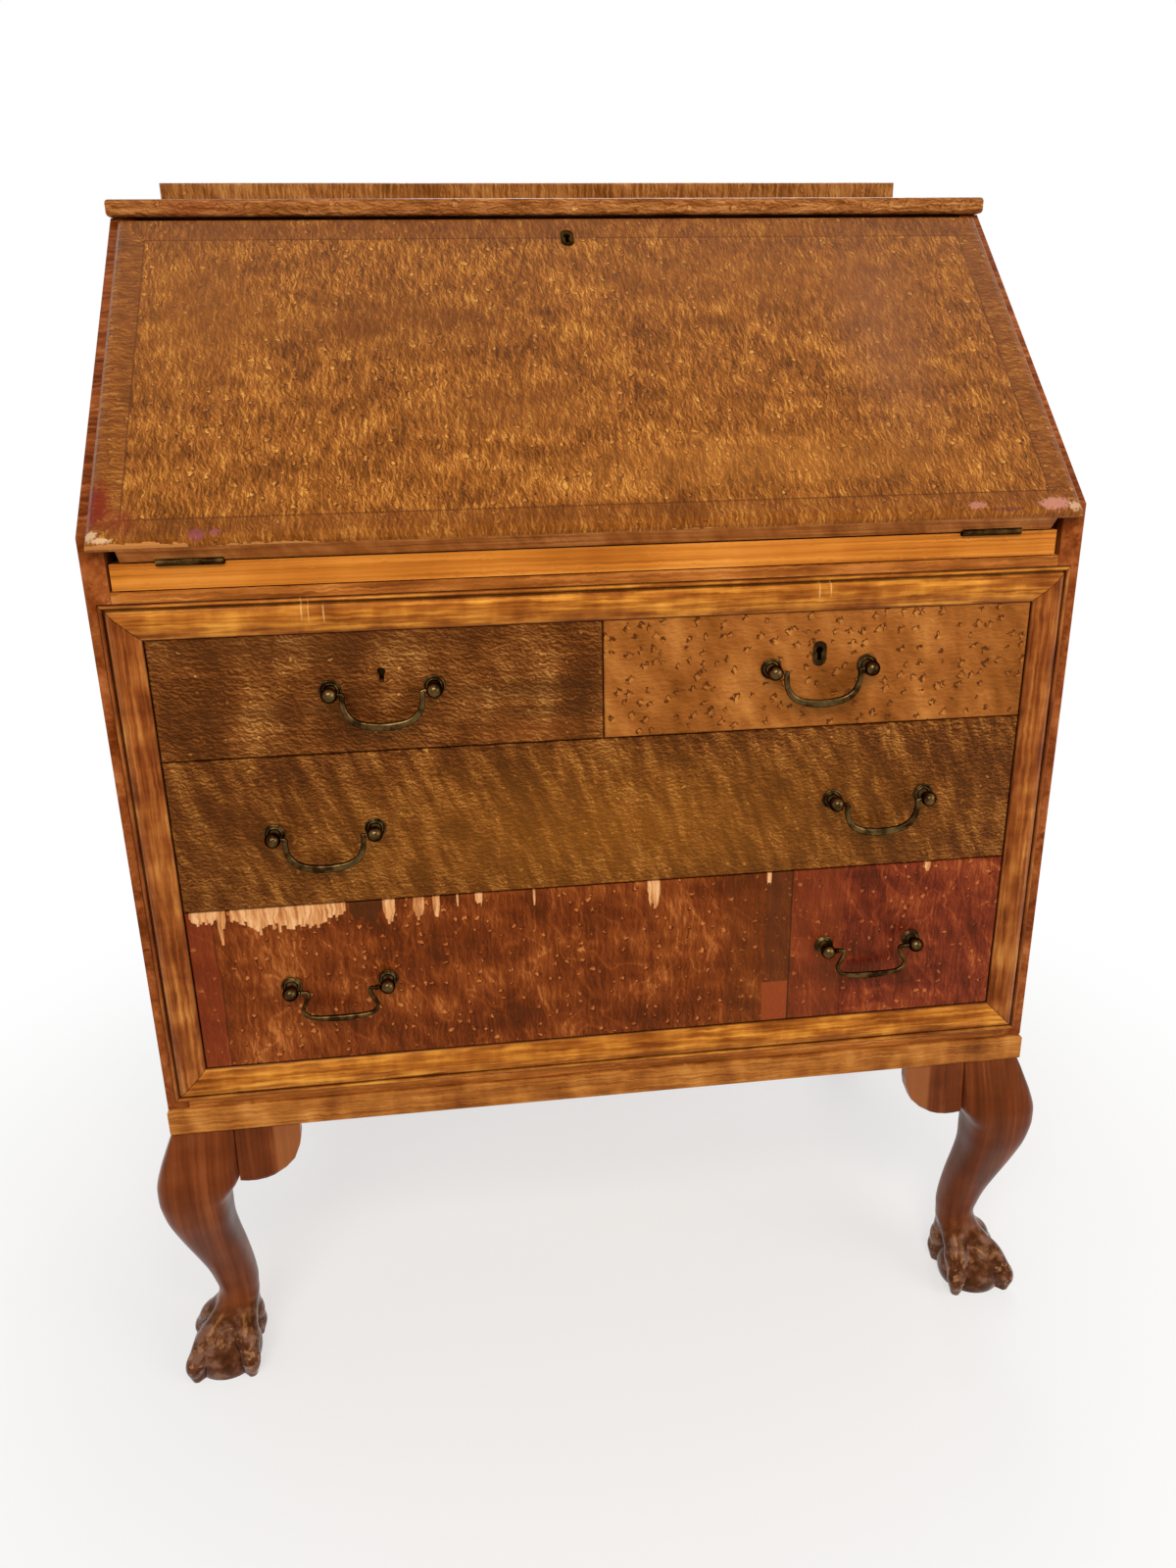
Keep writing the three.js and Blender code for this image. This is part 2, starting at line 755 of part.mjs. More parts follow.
function buildPost(inwards) {
  const lower = postRadiusShares.map(
    (share, i) => new THREE.Vector2(share * rosetteRadius, postHeightShares[i] * rosetteHeight),
  );
  const upper = ballAngles.map((angle) => {
    const turn = THREE.MathUtils.degToRad(angle);
    return new THREE.Vector2(Math.cos(turn) * ballRadius, ballStandOff + Math.sin(turn) * ballRadius);
  });
  const profile = [
    new THREE.Vector2(0, 0),
    ...lower,
    new THREE.Vector2(stemRadius, rosetteHeight * 2),
    ...upper,
    new THREE.Vector2(0, ballStandOff + ballRadius),
  ];
  const post = new THREE.LatheGeometry(profile, postSides).rotateX(Math.PI);
  const reach = [inwards * (ballRadius - socketDepth), inwards * (ballRadius + overrun)].sort((a, b) => a - b);
  const socket = cylinderAlongX(bailPinRadius + jointGap, reach, -ballStandOff, 0, socketSides);
  return cut(post, [socket]);
}

// Half of the bail as shares of its half width and drop, from the pin to the middle
const bailAcrossShares = [1, 0.97, 0.95, 0.84, 0.62, 0.32];
const bailDownShares = [0.05, 0.3, 0.55, 0.79, 0.93, 0.985];

function buildBail() {
  const half = postSpacing / 2 - bailElbowInset;
  const pinEnd = postSpacing / 2 - ballRadius + socketDepth - jointGap * 3;
  const side = [
    [pinEnd, 0],
    [half + bailLegRadius, 0],
    ...bailAcrossShares.map((share, i) => [share * half, -bailDownShares[i] * bailDrop]),
  ];
  const sideRadii = side.map((_, i) => {
    const swell = Math.max(i - 2, 0) / (side.length - 3);
    return i < 2 ? bailPinRadius : THREE.MathUtils.lerp(bailLegRadius, bailMidRadius, swell);
  });
  const points = [
    ...side.map(([x, z]) => new THREE.Vector3(-x, 0, z)),
    new THREE.Vector3(0, 0, -bailDrop),
    ...side.map(([x, z]) => new THREE.Vector3(x, 0, z)).reverse(),
  ];
  const radii = [...sideRadii, bailMidRadius, ...sideRadii.slice().reverse()];
  return taperedBar(points, radii, bailSteps, bailSides);
}

function addHandle(drawer, name, x, z) {
  for (const [side, sign] of [
    ["left", -1],
    ["right", 1],
  ]) {
    const post = addPiece(drawer, `${name}_post_${side}`, buildPost(-sign), "brass");
    post.position.set(x + (sign * postSpacing) / 2, frontSetback - jointGap, z);
  }
  const bail = addPiece(drawer, `${name}_bail`, solidOf(buildBail()), "brass");
  bail.position.set(x, frontSetback - jointGap - ballStandOff, z);
}

// A drawer: a veneered front and the box behind it
function buildDrawer(name, xs, boxXs, zs, boxZs, finish, lock) {
  const drawer = new THREE.Group();
  const back = frontSetback + frontThickness;
  const slab = roundedSlab(xs, zs, [0, frontThickness], frontArris, 1);
  slab.applyMatrix4(new THREE.Matrix4().makeBasis(unitX, unitZ, unitY.clone().negate()));
  slab.translate(0, back, 0);
  const x = (xs[0] + xs[1]) / 2;
  const keyZ = (zs[0] + zs[1]) / 2 + drawerKeyRise;
  const rooms = lock ? lockRoom(frontThickness, lock.lined) : [];
  rooms.forEach((room) => room.translate(x, frontSetback, keyZ));
  addPiece(drawer, `${name}_front`, cut(slab, rooms), finish);
  if (lock) {
    const piece = addPiece(drawer, `${name}_lock`, buildLock(frontThickness, lock.lined), "steel");
    piece.position.set(x, frontSetback, keyZ);
  }
  const box = block(boxXs, [back + jointGap, boxBack], boxZs);
  const room = block(
    [boxXs[0] + boxWall, boxXs[1] - boxWall],
    [back + jointGap + boxWall, boxBack - boxWall],
    [boxZs[0] + boxFloor, boxZs[1] + overrun],
  );
  addPiece(drawer, `${name}_box`, cut(box, [room]), "insideWood");
  return drawer;
}

function buildDrawers() {
  const drawers = new THREE.Group();
  const wide = halfOpening - frontSideGap;
  const half = frontGap / 2;
  const dividerHalf = dividerThickness / 2 + boxSideGap;
  const shelf = dustboardThickness / 2;

  const lowerFloor = openingBottom - jointGap + boxRunGap;
  const lower = buildDrawer(
    "drawer_lower",
    [-wide, wide],
    [-wide, wide],
    [openingBottom + half, lowerSplit - half],
    [lowerFloor, lowerSplit - shelf - boxHeadroom],
    "drawerRed",
    null,
  );
  const lowerMiddle = (openingBottom + lowerSplit) / 2;
  addHandle(lower, "handle_lower_left", -wideHandleOffset, lowerMiddle);
  addHandle(lower, "handle_lower_right", wideHandleOffset, lowerMiddle);

  const middle = buildDrawer(
    "drawer_middle",
    [-wide, wide],
    [-wide, wide],
    [lowerSplit + half, upperSplit - half],
    [lowerSplit + shelf + boxRunGap, upperSplit - shelf - boxHeadroom],
    "drawerMottled",
    null,
  );
  const middleMiddle = (lowerSplit + upperSplit) / 2;
  addHandle(middle, "handle_middle_left", -wideHandleOffset, middleMiddle);
  addHandle(middle, "handle_middle_right", wideHandleOffset, middleMiddle);

  const upperZs = [upperSplit + half, openingTop - half];
  const upperBoxZs = [upperSplit + shelf + boxRunGap, openingTop - boxHeadroom];
  const upperMiddle = (upperSplit + openingTop) / 2 + upperHandleRise;
  const left = buildDrawer(
    "drawer_upper_left",
    [-wide, dividerOffset - half],
    [-wide, dividerOffset - dividerHalf],
    upperZs,
    upperBoxZs,
    "drawerDark",
    { lined: false },
  );
  addHandle(left, "handle_upper_left", (dividerOffset - half - wide) / 2, upperMiddle);
  const right = buildDrawer(
    "drawer_upper_right",
    [dividerOffset + half, wide],
    [dividerOffset + dividerHalf, wide],
    upperZs,
    upperBoxZs,
    "drawerLight",
    { lined: true },
  );
  addHandle(right, "handle_upper_right", (dividerOffset + half + wide) / 2, upperMiddle);
  drawers.add(lower, middle, left, right);
  return drawers;
}

// Fall: a thick panel rebated at both ends, so that its lips lie on the sloping edges of the sides
function buildFallPanel() {
  const lipHalf = halfCase - fallLipInset;
  const bodyHalf = halfInside - fallEndClearance;
  const panel = roundedSlab([-lipHalf, lipHalf], [fallLowerGap, fallEnd], [fallInner - fallArris, fallOuter], fallArris, 3);
  const under = fallInner - overrun - fallArris;
  const span = [fallLowerGap - overrun, fallEnd + overrun];
  const tools = [block([-halfCase, halfCase], span, [under, fallInner])];
  for (const sign of [-1, 1]) {
    const rebate = [sign * bodyHalf, sign * halfCase].sort((a, b) => a - b);
    tools.push(block(rebate, span, [under, lipInner]));
    const centre = sign * hingeOffset;
    const reach = leafLength / 2 + jointGap;
    const width = [centre - reach, centre + reach];
    tools.push(block(width, [-overrun, leafDepth + jointGap], [under, fallInner + leafThickness + jointGap]));
    tools.push(cylinderAlongX(knuckleRadius + jointGap * 2, width, 0, 0, knuckleSides));
  }
  const rooms = lockRoom(fallThickness, true);
  rooms.forEach((room) => placeFallLock(room));
  return cut(panel, [...tools, ...rooms]);
}

// Turns a lock that was made for an upright panel so that its face looks out of the slope, near the top edge
function placeFallLock(geometry) {
  return geometry.rotateX(-Math.PI / 2).translate(0, fallEnd - fallKeyInset, fallOuter);
}

// A hinge leaf lies in the plane Z = 0 of its own frame with its knuckles on the X axis.
function buildLeaf(knuckles, plateTop, knuckleGaps) {
  const half = leafLength / 2;
  const plate = block([-half, half], [0, leafDepth], [plateTop - leafThickness, plateTop]);
  const clear = knuckleGaps.map((range) =>
    cylinderAlongX(knuckleRadius + jointGap, [range[0] - jointGap, range[1] + jointGap], 0, 0, knuckleSides),
  );
  const trimmed = cut(plate, clear);
  return knuckles.reduce(
    (leaf, range) => leaf.add(solidOf(cylinderAlongX(knuckleRadius, range, 0, 0, knuckleSides))),
    trimmed,
  );
}

function addHinges(caseGroup, fallGroup) {
  const half = leafLength / 2;
  const ends = [
    [-half, endKnuckle - half],
    [half - endKnuckle, half],
  ];
  const centre = [endKnuckle - half + jointGap, half - endKnuckle - jointGap];
  for (const [side, sign] of [
    ["left", -1],
    ["right", 1],
  ]) {
    const pin = cylinderAlongX(hingePinRadius, [-half, half], 0, 0, knuckleSides);
    const bedLeaf = buildLeaf(ends, -pivotRise, [centre]).add(solidOf(pin));
    const low = addPiece(caseGroup, `hinge_bed_leaf_${side}`, bedLeaf, "brass");
    low.position.set(sign * hingeOffset, pivotY, pivotZ);
    const bore = cylinderAlongX(hingePinRadius + jointGap, [-half, half], 0, 0, knuckleSides);
    const fallLeaf = buildLeaf([centre], pivotRise + leafThickness, ends).subtract(solidOf(bore));
    addPiece(fallGroup, `hinge_fall_leaf_${side}`, fallLeaf, "brass").position.x = sign * hingeOffset;
  }
}

// A stay arm turns on the case side. Its stud slides along the end of the fall and stops it level.
function buildStays() {
  const stays = new THREE.Group();
  const pivot = new THREE.Vector2(stayPivotBack, bedTop + stayPivotRise);
  const openStud = new THREE.Vector2(pivotY - stayOpenReach, pivotZ - stayStudDepth);
  const length = pivot.distanceTo(openStud);
  const offset = new THREE.Vector2(pivot.x - pivotY, pivot.y - pivotZ);
  const depth = offset.y * slopeCos - offset.x * slopeSin;
  const closedAngle = slopeAngle + Math.asin((stayStudDepth - depth) / length);
  for (const [side, sign] of [
    ["left", -1],
    ["right", 1],
  ]) {
    const face = sign * (halfInside - jointGap);
    const outer = face - sign * stayBoss;
    const inner = outer - sign * stayThickness;
    const studEnd = sign * (halfInside - fallEndClearance + jointGap);
    const range = (a, b) => [Math.min(a, b), Math.max(a, b)];
    const bar = block(range(outer, inner), [0, length], [-stayWidth / 2, stayWidth / 2]);
    const arm = join([
      bar,
      cylinderAlongX(stayWidth / 2, range(outer, inner), 0, 0, staySides),
      cylinderAlongX(stayWidth / 2, range(outer, inner), length, 0, staySides),
      cylinderAlongX(stayStudRadius, range(face, inner), 0, 0, staySides),
      cylinderAlongX(stayStudRadius, range(inner + (sign * stayThickness) / 2, studEnd), length, 0, staySides),
    ]);
    const stay = addPiece(stays, `stay_arm_${side}`, arm, "steel");
    stay.position.set(0, pivot.x, pivot.y);
    stay.rotation.x = closedAngle;
  }
  return stays;
}

// Pigeonholes stand on the bed against the back: a low row under a row of tall ones.
function buildPigeonholes() {
  const half = halfInside - pigeonholeEndGap;
  const back = insideBack - jointGap;
  const front = topFront + pigeonholeSetback;
  const floor = bedTop + jointGap;
  const ceiling = caseTop - pigeonholeTopGap;
  const unit = block([-half, half], [front, back], [floor, ceiling]);
  const shelf = floor + pigeonholeWall + lowerCompartmentHeight;
  const rows = [
    [lowerCompartments, floor + pigeonholeWall, shelf],
    [upperCompartments, shelf + pigeonholeWall, ceiling - pigeonholeWall],
  ];
  const rooms = rows.flatMap(([count, low, high]) => {
    const pitch = (half * 2 - pigeonholeWall) / count;
    return Array.from({ length: count }, (_, i) => {
      const start = pigeonholeWall - half + i * pitch;
      return block([start, start + pitch - pigeonholeWall], [front - overrun, back + overrun], [low, high]);
    });
  });
  return cut(unit, rooms);
}

function buildFall(caseGroup) {
  const fall = new THREE.Group();
  addPiece(fall, "fall_panel", buildFallPanel(), "fallVeneer");
  const lock = geometryOf(buildLock(fallThickness, true));
  addPiece(fall, "fall_lock", placeFallLock(lock), "steel");
  addHinges(caseGroup, fall);
  fall.position.set(0, pivotY, pivotZ);
  fall.rotation.x = slopeAngle;
  return fall;
}

const carcase = buildCase();
addPiece(carcase, "pigeonhole_unit", buildPigeonholes(), "insideWood");
desk.add(carcase, buildFrame(), buildTop(), buildStand(), buildDrawers(), buildFall(carcase), buildStays());

// The finished desk stands centred on the origin.
const extent = new THREE.Box3().setFromObject(desk);
desk.position.y = -(extent.min.y + extent.max.y) / 2;

export default desk;
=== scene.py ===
# %% [markdown]
# A slant-front writing desk
#
# The desk is a wooden case on four cabriole legs. Its solids were made elsewhere and arrive here as a fixed frame of
# named nodes. This lesson gives that frame its veneers, its old polish and its brass, and replaces the pieces whose
# carving or turning is finer than a plain solid can show.

# %% Load the frame
import json
import math

import bpy
import numpy as np
from mathutils import Matrix, Vector


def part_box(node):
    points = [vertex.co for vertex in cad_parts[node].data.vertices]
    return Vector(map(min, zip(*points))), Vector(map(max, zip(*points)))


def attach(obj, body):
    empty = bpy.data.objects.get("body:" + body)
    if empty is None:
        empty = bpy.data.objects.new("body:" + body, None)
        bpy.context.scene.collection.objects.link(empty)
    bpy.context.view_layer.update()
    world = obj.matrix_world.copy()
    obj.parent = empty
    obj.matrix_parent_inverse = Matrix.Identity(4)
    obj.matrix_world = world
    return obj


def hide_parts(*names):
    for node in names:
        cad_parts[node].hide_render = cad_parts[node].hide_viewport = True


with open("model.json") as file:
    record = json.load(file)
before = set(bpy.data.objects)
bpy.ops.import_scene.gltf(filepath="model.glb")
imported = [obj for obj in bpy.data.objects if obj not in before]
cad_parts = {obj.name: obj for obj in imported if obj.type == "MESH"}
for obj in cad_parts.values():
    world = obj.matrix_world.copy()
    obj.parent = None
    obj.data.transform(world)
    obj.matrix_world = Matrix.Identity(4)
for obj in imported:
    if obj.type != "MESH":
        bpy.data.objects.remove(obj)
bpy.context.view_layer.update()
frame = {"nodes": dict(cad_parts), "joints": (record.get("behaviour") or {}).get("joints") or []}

# %% [markdown]
# Lengths on such a desk are read in millimetres, and Blender works in metres. The case's front face is the plane that
# every height and depth is taken from, so its place is asked of a node that lies in it.

# %% Units and the case's front face
MM = 0.001
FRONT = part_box("lower_rail")[0].y
print("front face at", round(FRONT / MM, 1), "mm")


def place(x, y, z):
    """A point given in millimetres, with y counted backwards from the case's front face, as metres."""
    return np.array([x * MM, FRONT + y * MM, z * MM])


# %% [markdown]
# A colour picker gives sRGB numbers, and a shader adds light in linear numbers. One function turns a written hex
# colour into the linear one: values under 0.04045 are divided by 12.92, and the others go through the 2.4 power curve.

# %% Colours
def linear(code):
    """Linear RGBA of a colour written as six hex digits."""
    value = np.array([int(code[i : i + 2], 16) for i in (0, 2, 4)]) / 255
    value = np.where(value < 0.04045, value / 12.92, ((value + 0.055) / 1.055) ** 2.4)
    return (*value.tolist(), 1.0)


print("mid grey, 808080, is", round(linear("808080")[0], 3), "in linear light")

# %% [markdown]
# A material is a small network of nodes. One function adds a node, sets its named settings and links or fills its
# inputs, so that each finish below reads as a list of steps. A node that is given as a value stands for its first
# output, which is the one that carries its result.

# %% Adding a node
def result(node):
    """A node's first output that is in use, which carries its result."""
    return next(output for output in node.outputs if output.enabled)


def add(tree, kind, *values, **settings):
    """Adds a node. Its kind may end in its operation, as in "Math ADD".

    values fill its inputs in order, and a dictionary at their end fills more of them by name.
    """
    kind, _, operation = kind.partition(" ")
    node = tree.nodes.new("ShaderNode" + kind)
    if operation:
        node.operation = operation
    for name, setting in settings.items():
        setattr(node, name, setting)
    named = values[-1] if values and isinstance(values[-1], dict) else {}
    sockets = [socket for socket in node.inputs if socket.enabled]
    filled = [*zip(sockets, values), *((node.inputs[name], value) for name, value in named.items())]
    for socket, value in filled:
        if isinstance(value, bpy.types.Node):
            value = result(value)
        if isinstance(value, bpy.types.NodeSocket):
            tree.links.new(value, socket)
        elif not isinstance(value, dict):
            socket.default_value = value
    return node


def new_material(name, roughness, metallic=0.0):
    """An empty material with a Principled surface, returned with its tree and that surface."""
    material = bpy.data.materials.new(name)
    material.use_nodes = True
    tree = material.node_tree
    surface = tree.nodes["Principled BSDF"]
    surface.inputs["Roughness"].default_value = roughness
    surface.inputs["Metallic"].default_value = metallic
    return material, tree, surface


def wire(tree, node, socket):
    """Links a node's result to a socket of a node that is there already."""
    tree.links.new(result(node), socket)


# %% [markdown]
# Every wood here starts from the same question: which way does the grain run? The board's own coordinates are turned
# so that the first runs across the grain, the second along it and the third into the board, all in millimetres.

# %% Board coordinates
GRAIN = {
    "upright": ("X", "Z", "Y"),
    "level": ("Z", "X", "Y"),
    "deep": ("X", "Y", "Z"),
    "side_upright": ("Y", "Z", "X"),
}


def board_axes(tree, direction, origin=(0, 0, 0), tilt=0.0):
    """Across, along and into the board in mm. tilt turns a sloping board upright about the X axis."""
    coordinates = add(tree, "TexCoord").outputs["Object"]
    turn = Matrix.Rotation(-tilt, 3, "X")
    shift = -(turn @ (Vector(origin) / MM))
    scaled = add(tree, "Mapping", coordinates, shift, (-tilt, 0, 0), (1 / MM, 1 / MM, 1 / MM))
    parts = add(tree, "SeparateXYZ", scaled).outputs
    return [parts[axis] for axis in GRAIN[direction]]


def outwards(tree, u, v, half, low, high):
    """How far a point lies beside a rectangle and how far over or under it, the greater of the two, and 1 where the
    first is the greater. The rectangle reaches half to either side of u = 0, and from low to high in v.
    """
    beside = add(tree, "Math SUBTRACT", add(tree, "Math ABSOLUTE", u), half)
    below, above = add(tree, "Math SUBTRACT", low, v), add(tree, "Math SUBTRACT", v, high)
    beyond = add(tree, "Math MAXIMUM", below, above)
    return beside, beyond, add(tree, "Math MAXIMUM", beside, beyond), add(tree, "Math GREATER_THAN", beside, beyond)


# %% [markdown]
# The case is veneered with a figured wood, and five things make its look. Fine pores run with the grain. Little swirls
# called bird's eyes, 4 to 6 mm across, have a pale heart and a dark rim, and push the pores aside; the rim is painted
# darker on one side only, as painted shade of the eye's relief. Flecks are short curls painted with a highlight on one
# flank and painted shade on the other, so they are the difference of one noise taken at two places close together.
# Bands are the slow ripples that seem to move when the light does, and clouds shift the tone of a hand's breadth. A
# cell pattern gives each eye its centre.
#
# Real pores are about 0.3 mm wide and 1 mm apart, which is finer than a picture of the whole desk can show. They are
# drawn 2 to 3 mm apart, as coarse as the photograph of such a veneer shows its strongest lines.

# %% Figured veneer
# Noise moves the grain in swells about 12 mm long, and an eye's outline in crumples about 3 mm long. The crumples'
# reach is TEAR times the eye's radius.
WOBBLE = {"Scale": 0.085, "Detail": 3.0, "Roughness": 0.6}
CRUMPLE = {"Scale": 0.32, "Detail": 1.0}
TEAR = 2.6


def ridge(tree, value, width):
    """1 where value is 0, and a smooth fall to 0 where it is width away on either side."""
    far = add(tree, "Math ABSOLUTE", value)
    return add(tree, "MapRange", far, 0.0, width, 1.0, 0.0, interpolation_type="SMOOTHSTEP")


def streaks(tree, vector, width, length, turn=0.0, detail=2.0, wander=0.0, aside=(0.0, 0.0, 0.0)):
    """Noise drawn out into streaks of a width and length in mm, turned by some degrees from the grain.

    wander bends the streaks, and aside reads the same noise from a place that many mm away.
    """
    size = {"Location": aside, "Rotation": (0, 0, math.radians(turn)), "Scale": (width, length, length)}
    drawn = add(tree, "Mapping", vector, size, vector_type="TEXTURE")
    return add(tree, "TexNoise", drawn, {"Scale": 1.0, "Detail": detail, "Distortion": wander}).outputs["Fac"]


def push(tree, places, start, reach, noise):
    """Moves places by noise that is read at start, by up to half of reach to either side along each axis."""
    field = add(tree, "TexNoise", start, noise).outputs["Color"]
    field = add(tree, "VectorMath SUBTRACT", field, (0.5, 0.5, 0.5))
    return add(tree, "VectorMath MULTIPLY_ADD", field, reach, places)


def figure(
    tree,
    axes,
    pores=(2.6, 32),
    curl=3.0,
    eyes=(13.0, 0.5, 2.4),
    flecks=(2.2, 7, 0),
    bands=(10, 45, 60),
    cloud=42,
    lean=0.0,
):
    """The marks of a figured wood, each from 0 to 1, worked out in the board's own millimetres.

    pores are a width and a length, and curl how far the swells move them sideways. eyes are the mean gap between two,
    the share of places that hold one, and a radius. flecks and bands are a width, a length and a turn from the grain
    in degrees. cloud is the size of the slow patches, and lean how much they slant.
    """
    across, along, into = axes
    flat = add(tree, "CombineXYZ", *axes)
    moved = push(tree, flat, flat, (curl * 2, curl, 0), WOBBLE)

    gap, share, radius = eyes
    torn = push(tree, moved, flat, (radius * TEAR, radius * TEAR, 0), CRUMPLE)
    spread = {"Scale": 1 / gap, "Randomness": 0.95}
    cells = add(tree, "TexVoronoi", torn, spread, voronoi_dimensions="2D", distance="MANHATTAN")
    away = add(tree, "VectorMath SUBTRACT", torn, cells.outputs["Position"])
    away = add(tree, "VectorMath MULTIPLY", away, (1, 1, 0))
    lot = add(tree, "SeparateColor", cells.outputs["Color"]).outputs
    present = add(tree, "Math LESS_THAN", lot[0], share)
    distance = add(tree, "Math MULTIPLY", cells, gap)
    size = add(tree, "Math MULTIPLY_ADD", lot[1], radius * 0.9, radius * 0.6)
    past = add(tree, "Math SUBTRACT", distance, size)
    heart = add(tree, "MapRange", past, -0.9 * radius, 0.2 * radius, 1.0, 0.0, interpolation_type="SMOOTHSTEP")
    # the eye's dark rim is painted only on one side, as painted shade of the eye's relief
    split = add(tree, "SeparateXYZ", away).outputs
    side = add(tree, "Math SUBTRACT", split[0], split[1])
    lit = add(tree, "MapRange", side, -radius, 0.6 * radius)
    rim = add(tree, "Math MULTIPLY", ridge(tree, past, 0.55 * radius), lit)
    near = add(tree, "MapRange", distance, 0.0, 2.4 * radius, -0.65, 0.0, interpolation_type="SMOOTHSTEP")
    pull = add(tree, "Math MULTIPLY", near, present)
    bent = add(tree, "VectorMath ADD", add(tree, "VectorMath SCALE", away, pull), moved)

    # flecks are painted relief: a painted highlight on one flank and painted shade on the other
    fleck_width, fleck_length, fleck_turn = flecks
    step = (0.45 * fleck_width, 0.25 * fleck_width, 0.0)
    bright = streaks(tree, bent, fleck_width, fleck_length, fleck_turn, 2.5, 0.8)
    shaded = streaks(tree, bent, fleck_width, fleck_length, fleck_turn, 2.5, 0.8, step)
    relief = add(tree, "Math SUBTRACT", bright, shaded)
    slanted = add(tree, "CombineXYZ", add(tree, "Math MULTIPLY_ADD", along, lean, across), along, into)
    return {
        "pores": add(tree, "MapRange", streaks(tree, bent, *pores), 0.32, 0.68),
        "flecks": add(tree, "MapRange", relief, -0.13, 0.13),
        "bands": add(tree, "MapRange", streaks(tree, moved, *bands), 0.34, 0.66),
        "clouds": add(tree, "MapRange", streaks(tree, slanted, cloud * 2, cloud, 0.0, 4.0), 0.3, 0.7),
        "hearts": add(tree, "Math MULTIPLY", heart, present),
        "rims": add(tree, "Math MULTIPLY", rim, present),
    }


# %% [markdown]
# The marks are only numbers. Weighed and added they make one tone, which is read off a palette. Over the colour lies
# an old polish that has sunk into the pores, so it has a shallow relief, and it shines more where it has been rubbed.
# Its reflections are kept low and warm, because a white surround would lay a grey veil over dark wood.

# %% Tone, colour and polish
KINDS = ("pores", "flecks", "bands", "clouds", "hearts", "rims")
POLISH_SHINE, POLISH_TINT = 0.3, "ffb468"


def weigh(tree, *terms):
    """The sum of value times weight over (value, weight) pairs."""
    total = 0.0
    for value, weight in terms:
        total = add(tree, "Math MULTIPLY_ADD", value, weight, total)
    return total


def tone_of(tree, marks, weights, *more):
    """The weighed sum of a figure's marks, in the order of KINDS, and of more (value, weight) pairs."""
    return weigh(tree, *((marks[kind], weight) for kind, weight in zip(KINDS, weights) if weight), *more)


def tint(tree, tone, palette, places=(0.0, 0.3, 0.5, 0.7, 1.0)):
    """Reads a tone off a palette of hex colours that runs from dark to light."""
    ramp = add(tree, "ValToRGB", tone)
    elements = ramp.color_ramp.elements
    while len(elements) < len(palette):
        elements.new(0.5)
    for element, position, code in zip(elements, places, palette):
        element.position = position
        element.color = linear(code)
    return ramp


def lay(tree, colour, code, mask, strength=1.0):
    """Lays a hex colour over a colour where the mask is 1, at some strength."""
    amount = add(tree, "Math MULTIPLY", mask, strength)
    return add(tree, "Mix", amount, colour, linear(code), data_type="RGBA")


def polish(tree, surface, colour, marks, depth, roughness, spread, dents=0.0, shine=POLISH_SHINE):
    """The varnish over a colour, with a bump depth mm deep from the pores and the eyes' rims.

    Its roughness drifts by spread with the clouds, and shine is the strength of its reflections.
    """
    wire(tree, colour, surface.inputs["Base Color"])
    relief = weigh(tree, (marks["pores"], 0.35), (marks["flecks"], 0.12), (marks["rims"], -0.5), (dents, -1.0))
    bump = add(tree, "Bump", {"Height": relief, "Strength": 1.0, "Distance": depth * MM})
    wire(tree, bump, surface.inputs["Normal"])
    drift = weigh(tree, (marks["clouds"], spread), (marks["pores"], spread * 0.4), (1.0, roughness - spread * 0.7))
    wire(tree, drift, surface.inputs["Roughness"])
    surface.inputs["Specular IOR Level"].default_value = shine
    surface.inputs["Specular Tint"].default_value = linear(POLISH_TINT)


# %% [markdown]
# A century of use leaves marks at places of their own: stains, filler, and veneer that has split off along the grain.
# A mark is an oval in the board's millimetres whose rim is pulled about by noise. A list of such ovals, each with its
# colour, is laid over the veneer one after the other.

# %% Marks of use
def oval(tree, u, v, centre, size, ragged=0.5, soft=0.25):
    """1 inside an oval and 0 outside it. ragged moves the rim by that share of its size, soft is the rim's width."""
    here = add(tree, "CombineXYZ", u, v, 0.0)
    placed = add(tree, "Mapping", here, (*centre, 0), (0, 0, 0), (*size, 1), vector_type="TEXTURE")
    out = add(tree, "VectorMath LENGTH", placed).outputs["Value"]
    rough = add(tree, "TexNoise", here, {"Scale": 0.35, "Detail": 3.0})
    edge = add(tree, "Math MULTIPLY_ADD", rough, ragged * 4, 1.0 - ragged * 2)
    return add(tree, "MapRange", add(tree, "Math SUBTRACT", edge, out), -soft, soft)


def lay_marks(tree, colour, u, v, marks):
    """Lays ovals over a colour. Each mark is (centre, size, hex colour, strength, ragged, soft)."""
    for centre, size, code, strength, ragged, soft in marks:
        colour = lay(tree, colour, code, oval(tree, u, v, centre, size, ragged, soft), strength)
    return colour


def lay_strips(tree, colour, across, strips):
    """Lays upright strips over a colour. Each strip is (centre, half width, hex colour, strength)."""
    for centre, half, code, strength in strips:
        colour = lay(tree, colour, code, add(tree, "Math COMPARE", across, centre, half), strength)
    return colour


